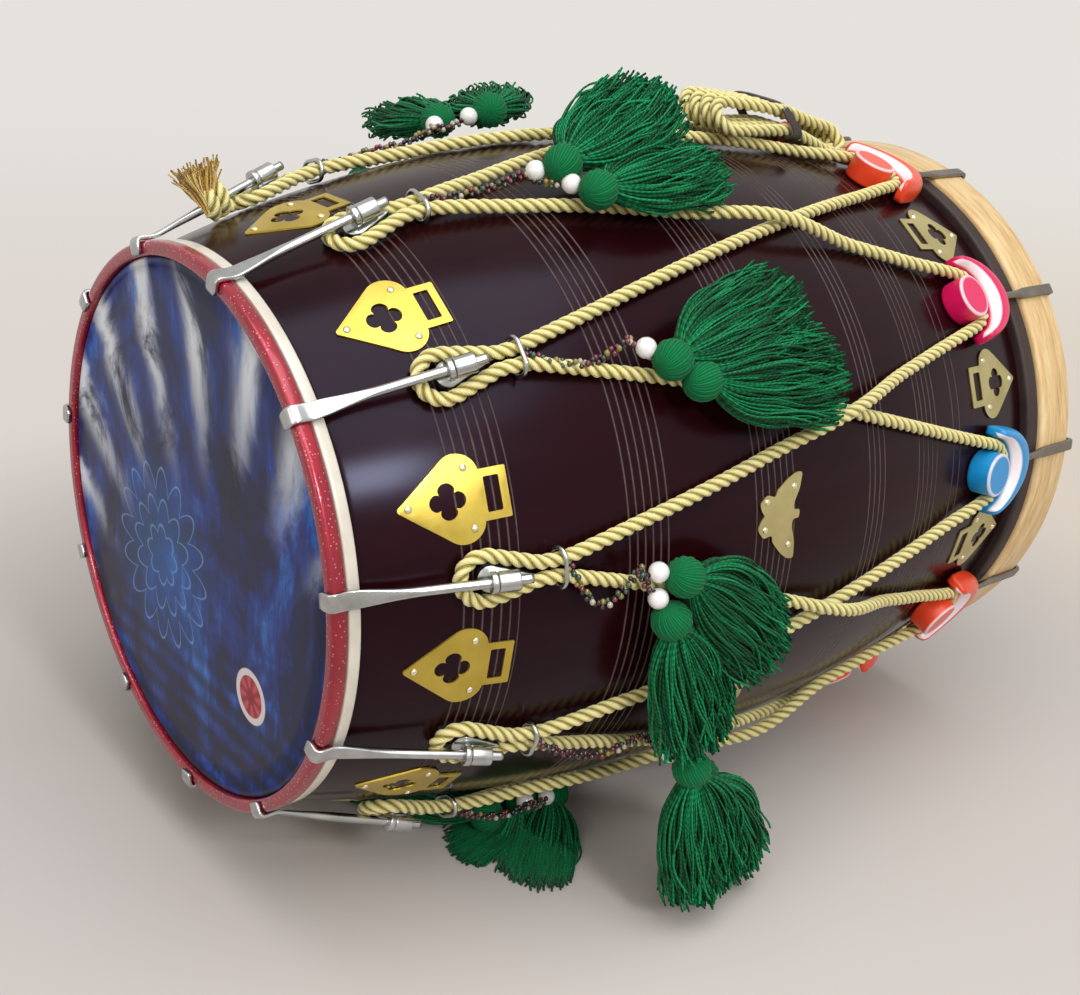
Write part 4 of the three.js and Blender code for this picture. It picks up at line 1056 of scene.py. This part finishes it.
def yarnTubes(mesh, paths, radius, reference, shade):
    # a three-sided tube along every path at once
    side, up = sideAndUp(unit(np.gradient(paths, axis=1)), reference)
    turn = (np.arange(3) * 2 * math.pi / 3)[:, None]
    grid = paths[:, :, None] + radius * (np.cos(turn) * up[:, :, None] + np.sin(turn) * side[:, :, None])
    count, steps = paths.shape[:2]
    strand = (np.arange(count) * steps * 3)[:, None]
    quads = (gridFaces(steps, 3, False, True)[None] + strand[..., None]).reshape(-1, 4)
    ends = np.arange(3)[None]
    tris = np.concatenate([strand + ends[:, ::-1], strand + (steps - 1) * 3 + ends])
    u, v = np.linspace(0, 24, steps), np.linspace(0, 1, 4)
    i, j = np.meshgrid(np.arange(steps - 1), np.arange(3), indexing="ij")
    cell = np.stack([np.stack([u[i + a], v[j + b]], -1) for a, b in ((0, 0), (1, 0), (1, 1), (0, 1))], -2)
    mesh.points.append(grid.reshape(-1, 3))
    mesh.quads.append(quads + mesh.count)
    mesh.uvs.append(np.tile(cell.reshape(-1, 4, 2), (count, 1, 1)))
    mesh.tris.append(tris + mesh.count)
    mesh.triUvs.append(np.zeros((2 * count, 3, 2)))
    mesh.marks.setdefault("strand", []).append(np.repeat(shade, steps * 3))
    mesh.count += count * steps * 3


fray = {
    "lug": 1, "start": 39, "end": 54, "turns": 2, "lift": 1.2, "strands": 150, "length": 33, "root": 3.6,
    "wide": 13, "wave": 1.2, "yarn": 0.55, "way": (-0.22, -0.1, 0.95),
}


def makeRopeEnd():
    # the lacing's end: two turns round one rod, then a broom of loose yarns
    s = fray
    spin = rodTurn(s["lug"])
    turn = np.linspace(0.9 * math.pi, (0.9 + 2 * s["turns"]) * math.pi, s["turns"] * 24)
    around = claw["rod"] + drum["gap"] + rope["radius"] + 0.4
    along = s["end"] + (s["start"] - s["end"]) * (turn - turn[0]) / (turn[-1] - turn[0])
    coil = onRod(np.stack([along, around * np.sin(turn), around * np.cos(turn) + s["lift"]], -1))
    makeTwisted("ropeEndTurns", "rope", fromLug(dense(coil, 1.6), spin), np.array([1.0, 0, 0]),
                rope["radius"] * 0.94, rope["pitch"])
    # each yarn bends away from the broom's line by reach * share^1.5
    base, way = coil[-1], unit(np.array(s["way"]))
    side, up = sideAndUp(way, [0, 1, 0])
    share = np.linspace(0, 1, 9)[None, :, None]
    turn = rng.uniform(0, 2 * math.pi, s["strands"])[:, None, None]
    reach = np.sqrt(rng.uniform(0.02, 1, s["strands"]))[:, None, None]
    length = s["length"] * (0.72 + 0.28 * rng.uniform(0, 1, s["strands"]))[:, None, None]
    wave = s["wave"] * np.sin(7 * share + turn * 3) * share
    spread = reach * (s["root"] + s["wide"] * share ** 1.5)
    paths = base + way * length * share + spread * (np.cos(turn) * side + np.sin(turn) * up) + wave * side
    broom = Mesh()
    shade = rng.uniform(0, 1, s["strands"])
    yarnTubes(broom, fromLug(paths, spin), s["yarn"], aroundDrum(0, spin, 1), shade)
    broom.build("ropeEndYarns", "fray")


makeLacing()
makeSpareRope()
makeRopeEnd()
print("ropes made")

tassel = {
    "head": 11.5, "neck": 5.5, "length": 110, "wide": 30, "high": 13, "round": 0.2, "strands": 430,
    "steps": 15, "yarn": 0.82, "string": 1.7, "pearl": 6.0, "bead": 1.8, "withSolid": 8,
    "droops": [0, 0, 0, 0, 14, 8, 0, 0, 0, 0, 0], "sags": [7, 7, 4, 12, 22, 12, 7, 5, 7, 7, 7],
}
tasselLift = 2 * restLift
# for each lug, two heads: along the drum, round it in lugs, out in lengths, and the way they fall
tasselPairs = [
    (0, [(0.36, -0.2, 0, (0.15, 0.3, -1)), (0.37, 0.1, 0, (0.3, 0.5, -1))]),
    (1, [(0.38, -0.15, 0, (0.3, 0.92, -0.15)), (0.42, 0.05, 0, (0.6, 0.8, -0.1))]),
    (2, [(0.333, 0.13, 0.02, (0.91, 0.23, 0.35)), (0.348, 0.32, 0, (0.99, 0.11, 0.08))]),
    (3, [(0.327, 0.2, 0.01, (0.98, 0.03, 0.22)), (0.352, 0.31, 0.01, (0.98, -0.15, -0.05))]),
    (4, [(0.307, 0.11, 0.01, (0.84, -0.08, -0.54)), (0.296, 0.3, 0.01, (0.44, -0.04, -0.9))]),
    (5, [(0.349, 0.06, 0.2, (0.25, -0.07, -0.97)), (0.382, 0.2, 0.17, (0.48, -0.03, -0.87))]),
    (6, [(0.379, 0.37, 0.01, (-0.64, -0.57, -0.52)), (0.341, 0.41, 0.01, (-0.58, -0.1, -0.81))]),
    (7, [(0.29, -0.6, 0.05, (-0.5, 0.85, 0)), (0.33, -0.45, 0.02, (-0.4, 0.9, 0))]),
    (8, [(0.34, -0.1, 0, (0.3, 0, -1)), (0.36, 0.12, 0, (0.5, 0, -1))]),
    (9, [(0.34, -0.1, 0, (0.2, 0, -1)), (0.36, 0.12, 0, (0.4, 0, -1))]),
    (10, [(0.34, -0.1, 0, (0.2, 0, -1)), (0.36, 0.12, 0, (0.4, 0, -1))]),
]


def settle(points, lift):
    # pushed out to the lift over the shell, and up off the floor
    points = np.array(points, float)
    least = shellRadius(points[..., 0]) + lift
    radius = np.hypot(points[..., 1], points[..., 2])
    scale = np.maximum(least / np.maximum(radius, 1e-6), 1)
    points[..., 1] *= scale
    points[..., 2] *= scale
    points[..., 2] = np.maximum(points[..., 2], floorZ + 1.0)
    return points


def tasselFrame(lug, along, around, out, fall):
    # the head's middle, clear of the ropes and the floor, and the way its skirt falls
    x = drum["length"] * along
    rise = float(shellRadius(x)) + tasselLift + tassel["head"] + tassel["length"] * out
    head = settle(aroundDrum(x, rodTurn(lug + around), rise), tasselLift + tassel["head"])
    head[2] = max(head[2], floorZ + tassel["head"])
    return head, unit(np.array(fall, float))


def strandPaths(head, way, droop):
    # each strand leaves the neck and spreads by 1 - exp(-5.5 share) to its own place on a flat
    # oval skirt, shorter by round * reach^2 towards its sides, which sags by droop * share^2
    t = tassel
    count = t["strands"]
    share = np.linspace(0, 1, t["steps"])[None, :]
    side, up = sideAndUp(way, outwardOf(head))
    down = np.array([0, 0, -1.0]) + way * way[2]
    turn = rng.uniform(0, 2 * math.pi, count)[:, None]
    reach = np.sqrt(rng.uniform(0.02, 1, count))[:, None]
    length = t["length"] * rng.uniform(0.84, 1.0, count)[:, None] * (1 - t["round"] * reach ** 2)
    wave = rng.uniform(0, 2 * math.pi, count)[:, None]
    curl = rng.uniform(1.2, 4.2, count)[:, None] * share
    spread = (1 - np.exp(-5.5 * share)) / (1 - math.exp(-5.5))
    a = reach * np.cos(turn) * (t["neck"] + (t["wide"] - t["neck"]) * spread)
    a = a + curl * np.sin(wave + 7 * share)
    b = reach * np.sin(turn) * (t["neck"] + (t["high"] - t["neck"]) * spread)
    b = b + curl * np.cos(wave * 1.7 + 8 * share)
    start = t["head"] * 0.55
    centre = head + way * (start + (length - start) * share)[..., None]
    points = centre + down * (droop * share ** 2)[..., None] + a[..., None] * side + b[..., None] * up
    return settle(points, tasselLift * 0.35 + np.maximum(b + t["high"], 0.5)), up


def ballGrid(centre, way, radius, ribs, depth):
    # a ball wound with yarn: radius * (1 + depth * cos(ribs * turn + 4 * polar)) between its poles
    polar = np.linspace(0.06, math.pi - 0.06, 15)[:, None, None]
    turn = (np.arange(ribs * 3) * 2 * math.pi / (ribs * 3))[None, :, None]
    size = radius * (1 + depth * np.cos(ribs * turn + 4 * polar) * np.sin(polar))
    side, up = sideAndUp(way, [0.31, 0.52, 0.79])
    return centre + size * (np.cos(polar) * way + np.sin(polar) * (np.cos(turn) * side + np.sin(turn) * up))


def domeGrid(top, bottom, rings, sides):
    # part of a ball of radius 1: (sin polar cos turn, sin polar sin turn, cos polar)
    polar = np.linspace(top, bottom, rings)[:, None]
    turn = np.arange(sides)[None, :] * 2 * math.pi / sides
    return np.stack([np.sin(polar) * np.cos(turn), np.sin(polar) * np.sin(turn),
                     np.cos(polar) + 0 * turn], -1)


def beadString(mesh, path):
    # two strings of small beads twisted round each other
    bead = tassel["bead"]
    path = dense(path, 2 * bead)
    side, up = sideAndUp(unit(np.gradient(path, axis=0)), outwardOf(path))
    ball = domeGrid(0.3, math.pi - 0.3, 4, 6)
    for place, point in enumerate(path):
        lay = place * 1.05
        away = 0.85 * bead * (math.cos(lay) * side[place] + math.sin(lay) * up[place])
        for way in (1, -1):
            size = bead * rng.uniform(0.85, 1.1)
            mesh.bar(point + way * away + ball * size, marks={"tint": rng.uniform()})


def sagged(start, end, drop):
    # a hanging string: a straight line less drop * sin(pi share), lifted over the rope beside it
    share = np.linspace(0, 1, 24)[:, None]
    bow = np.sin(math.pi * share)
    line = np.asarray(start) * (1 - share) + np.asarray(end) * share - np.array([0, 0, drop]) * bow
    return settle(line, 2 * tassel["string"] + 7 * np.sqrt(bow[:, 0]))


def makeTassels():
    t = tassel
    for lug, pair in tasselPairs:
        number = f"{lug + 1:02d}"
        yarn, pearls, beads = Mesh(), Mesh(), Mesh()
        places = [tasselFrame(lug, *entry) for entry in pair]
        # the strings of both heads meet at a knot, and one string goes on to the ring
        knotX = min(head[0] for head, way in places) - t["head"] - t["pearl"]
        knotTurn = rodTurn(lug + (pair[0][1] + pair[1][1]) / 8)
        knot = aroundDrum(knotX, knotTurn, float(shellRadius(knotX)) + tasselLift + t["pearl"])
        tiedX = legStartX + t["string"]
        tied = aroundDrum(tiedX, rodTurn(lug), float(shellRadius(tiedX)) + ringLift + 2 * t["string"])
        for head, way in places:
            paths, up = strandPaths(head, way, t["droops"][lug])
            yarnTubes(yarn, paths, t["yarn"], up, rng.uniform(0, 1, len(paths)))
            yarn.bar(ballGrid(head, way, t["head"], 16, 0.05), uv=(6, 40), marks={"strand": 0.5})
            neck = head + way * np.linspace(0.75, 1.25, 6)[:, None] * t["head"]
            wrap = carried(neck, up, t["neck"] + 0.9, t["neck"] + 0.9, 2, 20)
            yarn.bar(wrap, uv=(20, 1), marks={"strand": 0.25})
            toKnot = unit(knot - head)
            pearls.bar(ballGrid(head + toKnot * (t["head"] + t["pearl"] * 0.75), way, t["pearl"], 6, 0.0))
            beadString(beads, sagged(knot, head + toKnot * (t["head"] + t["pearl"]), 3))
        beadString(beads, sagged(tied, knot, t["sags"][lug]))
        replaces = (f"tassel_pair_{number}",) if lug < t["withSolid"] else ()
        yarn.build(f"tasselYarn_{number}", "yarn", slot="tassel_yarn", replaces=replaces)
        pearls.build(f"tasselPearls_{number}", "pearl")
        beads.build(f"tasselBeads_{number}", "seed")


makeTassels()
print("tassels made")

plate = {
    "thick": 0.9, "lift": 0.35, "step": 4.0, "trebleTip": 37.5, "bassTip": 540, "butterflyX": 276,
    "shifts": [-0.05, 0.04, 0.09, 0.1, 0.0, 0.05, -0.04, 0.03, -0.06, 0.05, 0.02],
    "spadeNails": [(6, 0), (39, 16.5), (38, -16)], "nail": 2.3, "nailHigh": 1.4,
    "wingNails": [(7.6, 20), (-12.6, 7.2), (11.8, -15.5), (-10.8, -9.6)], "wingTurn": 0.12,
    "lobe": 11.6, "lobeAt": (33.6, 12.4), "loop": [(47, 13.8), (59.4, 13.8), (60, 13.2)],
    "slot": [(47, -9.5), (47, 9.5), (55.5, 9.5), (55.5, -9.5)], "hole": 9.8, "holeX": 26.5,
    "wings": [(16, 0), (15.5, 2.8), (10.5, 3), (10.5, 8), (14.5, 17), (16.5, 28), (11, 28), (4, 24),
              (-4.5, 16.5), (-5.5, 12), (-12.5, 14), (-18, 8), (-15.5, 2.4), (-13, 0)],
}


def evenOdd(points, outlines):
    # inside where a line from the point along +x crosses the outlines an odd number of times
    inside = np.zeros(len(points), bool)
    x, y = points[:, 0][:, None], points[:, 1][:, None]
    for outline in outlines:
        a, b = outline, np.roll(outline, -1, 0)
        crosses = (a[None, :, 1] > y) != (b[None, :, 1] > y)
        span = np.where(np.abs(b[:, 1] - a[:, 1]) < 1e-12, 1e-12, b[:, 1] - a[:, 1])
        at = a[None, :, 0] + (y - a[None, :, 1]) / span * (b - a)[None, :, 0]
        inside ^= (crosses & (x < at)).sum(1) % 2 == 1
    return inside


def filledPlate(mesh, outlines, place):
    # a flat outline with holes, filled with small triangles, laid on the shell with a wall
    edges, points = [], []
    for outline in outlines:
        start = len(points)
        points.extend(outline.tolist())
        edges.extend([(start + i, start + (i + 1) % len(outline)) for i in range(len(outline))])
    low, high = outlines[0].min(0), outlines[0].max(0)
    step = plate["step"]
    across = [np.arange(low[k] + step / 2, high[k], step) for k in (0, 1)]
    inner = np.stack(np.meshgrid(*across), -1).reshape(-1, 2)
    gone = np.sqrt(((inner[:, None] - np.concatenate(outlines)[None]) ** 2).sum(-1)).min(1)
    inner = inner[evenOdd(inner, outlines) & (gone > step * 0.4)]
    filled = geometry.delaunay_2d_cdt([Vector(p) for p in points + inner.tolist()], edges, [], 0, 1e-5)
    flat = np.array([tuple(v) for v in filled[0]])
    tris = np.array(filled[2])
    tris = tris[evenOdd(flat[tris].mean(1), outlines)]
    top, bottom = place(flat, plate["lift"] + plate["thick"]), place(flat, plate["lift"])
    count = len(flat)
    # faces outward, whichever way the outline was laid
    a, b, c = top[tris[0]]
    if np.dot(np.cross(b - a, c - a), outwardOf(a)) < 0:
        tris = tris[:, ::-1]
    sides = np.concatenate([tris[:, [0, 1]], tris[:, [1, 2]], tris[:, [2, 0]]])
    keys = {tuple(e) for e in sides.tolist()}
    rim = np.array([e for e in sides.tolist() if (e[1], e[0]) not in keys])
    walls = np.stack([rim[:, 1], rim[:, 0], rim[:, 0] + count, rim[:, 1] + count], -1)
    mesh.points.append(np.concatenate([top, bottom]))
    mesh.tris.append(np.concatenate([tris, tris[:, ::-1] + count]) + mesh.count)
    mesh.triUvs.append(np.zeros((2 * len(tris), 3, 2)))
    mesh.quads.append(walls + mesh.count)
    mesh.uvs.append(np.zeros((len(walls), 4, 2)))
    mesh.count += 2 * count


def spadeOutline():
    # a straight edge from the tip to a round lobe, a half circle but for its last quarter,
    # then a square loop behind, mirrored
    turn = np.linspace(2.2, 0.12, 14)
    lobe = np.stack([np.cos(turn), np.sin(turn)], -1) * plate["lobe"] + plate["lobeAt"]
    half = np.concatenate([[(0.4, 1.1)], lobe, plate["loop"]])
    return np.concatenate([[(0, 0)], half, (half * [1, -1])[::-1]])


def quatrefoil(centre, size):
    # four leaves: radius size * (0.58 + 0.42 |cos(2 turn)|^0.6)
    turn = np.linspace(0, 2 * math.pi, 48, endpoint=False)
    r = size * (0.58 + 0.42 * np.abs(np.cos(2 * turn)) ** 0.6)
    return np.stack([centre + r * np.cos(turn), r * np.sin(turn)], -1)


def butterflyOutline():
    # from the head at +x round the upper wings to the tail, mirrored with smaller lower wings, then turned
    half = np.array(plate["wings"], float)
    corners = np.concatenate([half, half[::-1][1:-1] * [1, -0.9]])
    c, s = math.cos(plate["wingTurn"]), math.sin(plate["wingTurn"])
    return closedRounded(list(corners @ np.array([[c, s], [-s, c]])), 2.2, 4)


def nails(mesh, places, x, turn, way):
    # a low dome on each place of a plate
    dome = domeGrid(0.05, math.pi / 2, 5, 12) * [plate["nail"], plate["nail"], plate["nailHigh"]]
    for along, across in places:
        spot = x + way * along
        rise = float(shellRadius(spot)) + plate["lift"] + plate["thick"] - 0.3
        mesh.bar(fromLug(dome + [spot, 0, rise], turn + way * across / rise))


def makeBrass(name, finish, outlines, nailPlaces, x, way, turns):
    plates, domes = Mesh(), Mesh()
    for turn in turns:
        def place(flat, lift):
            spot = x + way * flat[:, 0]
            radius = shellRadius(spot) + lift
            return aroundDrum(spot, turn + way * flat[:, 1] / radius, radius)

        filledPlate(plates, outlines, place)
        nails(domes, nailPlaces, x, turn, way)
    plates.build(name, finish, creased=True)
    domes.build(name + "Nails", "paleBrass")


lugs = range(drum["lugs"])
spade = [spadeOutline(), quatrefoil(plate["holeX"], plate["hole"]), closedRounded(plate["slot"], 0.8, 3)]
shifted = [rodTurn(lug + 0.5 + plate["shifts"][lug]) for lug in lugs]
makeBrass("brassSpadesTreble", "brass", spade, plate["spadeNails"], plate["trebleTip"], 1, shifted)
makeBrass("brassSpadesBass", "dullBrass", spade, plate["spadeNails"], plate["bassTip"], -1,
          [yokeTurn(lug + 0.5) for lug in lugs])
makeBrass("brassButterflies", "dullBrass", [butterflyOutline()], plate["wingNails"], plate["butterflyX"], 1,
          [rodTurn(lug) for lug in lugs])
print("brass trim made")

# the paper's colours: its lit side, what the eye sees beside, before and beyond the drum, and the far wall;
# the glow's colours paint the light's fall-off over the backdrop
stage = {
    "size": 14.0, "lit": "cfc6bf", "speck": "d4cbc3", "ground": "cdc4bc", "left": "ddd5d0",
    "right": "dcd0c0", "far": "e5e2dd", "shadowEdge": (0.38, 0.8), "foot": (0.66, 0.73), "near": (0.8, 1.6),
    "beyond": (1.4, 4.0), "across": (0.78, 0.62, -0.3, 0.9), "sky": "dfe3ea", "skyLevel": 0.35,
}


def addStage():
    size = stage["size"]
    data = bpy.data.meshes.new("floor")
    corners = [(-size, -size, 0), (size, -size, 0), (size, size, 0), (-size, size, 0)]
    data.from_pydata(corners, [], [(0, 1, 2, 3)])
    floor = bpy.data.objects.new("floor", data)
    bpy.context.scene.collection.objects.link(floor)
    f = Finish("floorPaper", Roughness=0.9)
    f.cover(f.blend(f.noise(f.place(), 3, 2) * 0.3, stage["lit"], stage["speck"]))
    # past the drum's shadow the paper glows for the eye and for reflections alone, with painted light
    # fall-off: darker towards the camera's foot, paler beyond, warmer on the right
    x, y, z = f.split(f.place())
    away = (x * x + y * y).math("SQRT")
    foot = ((x + stage["foot"][0]) ** 2 + (y + stage["foot"][1]) ** 2).math("SQRT")
    wide, deep, low, high = stage["across"]
    level = f.blend(f.step(x * wide - y * deep, low, high), stage["left"], stage["right"])
    level = f.blend(1 - f.step(foot, *stage["near"]), level, stage["ground"])
    level = f.blend(f.step(foot, *stage["beyond"]), level, stage["far"])
    glow = f.add("ShaderNodeEmission", inputs={0: level})
    share = f.seen() * f.step(away, *stage["shadowEdge"])
    mix = f.add("ShaderNodeMixShader", inputs={0: share, 1: Value(f, f.shader.outputs[0]), 2: glow})
    f.tree.links.new(mix.socket, f.tree.nodes["Material Output"].inputs["Surface"])
    data.materials.append(f.material)
    world = bpy.data.worlds.new("studio")
    bpy.context.scene.world = world
    world.use_nodes = True
    world.node_tree.nodes.clear()
    w = Graph(world.node_tree)
    sky = w.add("ShaderNodeBackground", inputs={0: stage["sky"], 1: stage["skyLevel"]})
    far = w.add("ShaderNodeBackground", inputs={0: stage["far"]})
    mix = w.add("ShaderNodeMixShader", inputs={0: w.seen(), 1: sky, 2: far})
    w.add("ShaderNodeOutputWorld", inputs={0: mix})


# each lamp's place, its size, power and tint; all aim at the drum's middle
lamps = {
    "topLight": ((-0.3, -0.7, 2.2), (2.0, 2.0), 38, "fbfcff"),
    "windowLight": ((-0.45, -2.0, 1.5), (0.42, 0.38), 20, "f8f8fb"),
    "sideLight": ((-2.4, -0.6, 1.3), (1.6, 1.6), 14, "fff8f0"),
}


def addLamp(name, place, size, power, tint):
    data = bpy.data.lights.new(name, "AREA")
    data.shape = "RECTANGLE"
    data.size, data.size_y = size
    data.energy = power
    data.color = color(tint)[:3]
    lamp = bpy.data.objects.new(name, data)
    bpy.context.scene.collection.objects.link(lamp)
    way = (Vector((0, 0, 0.2)) - Vector(place)).normalized()
    lamp.rotation_euler = way.to_track_quat("-Z", "Y").to_euler()
    lamp.location = place


addStage()
for name, lamp in lamps.items():
    addLamp(name, *lamp)
bpy.context.scene.view_settings.view_transform = "Standard"
print("stage and lights placed")
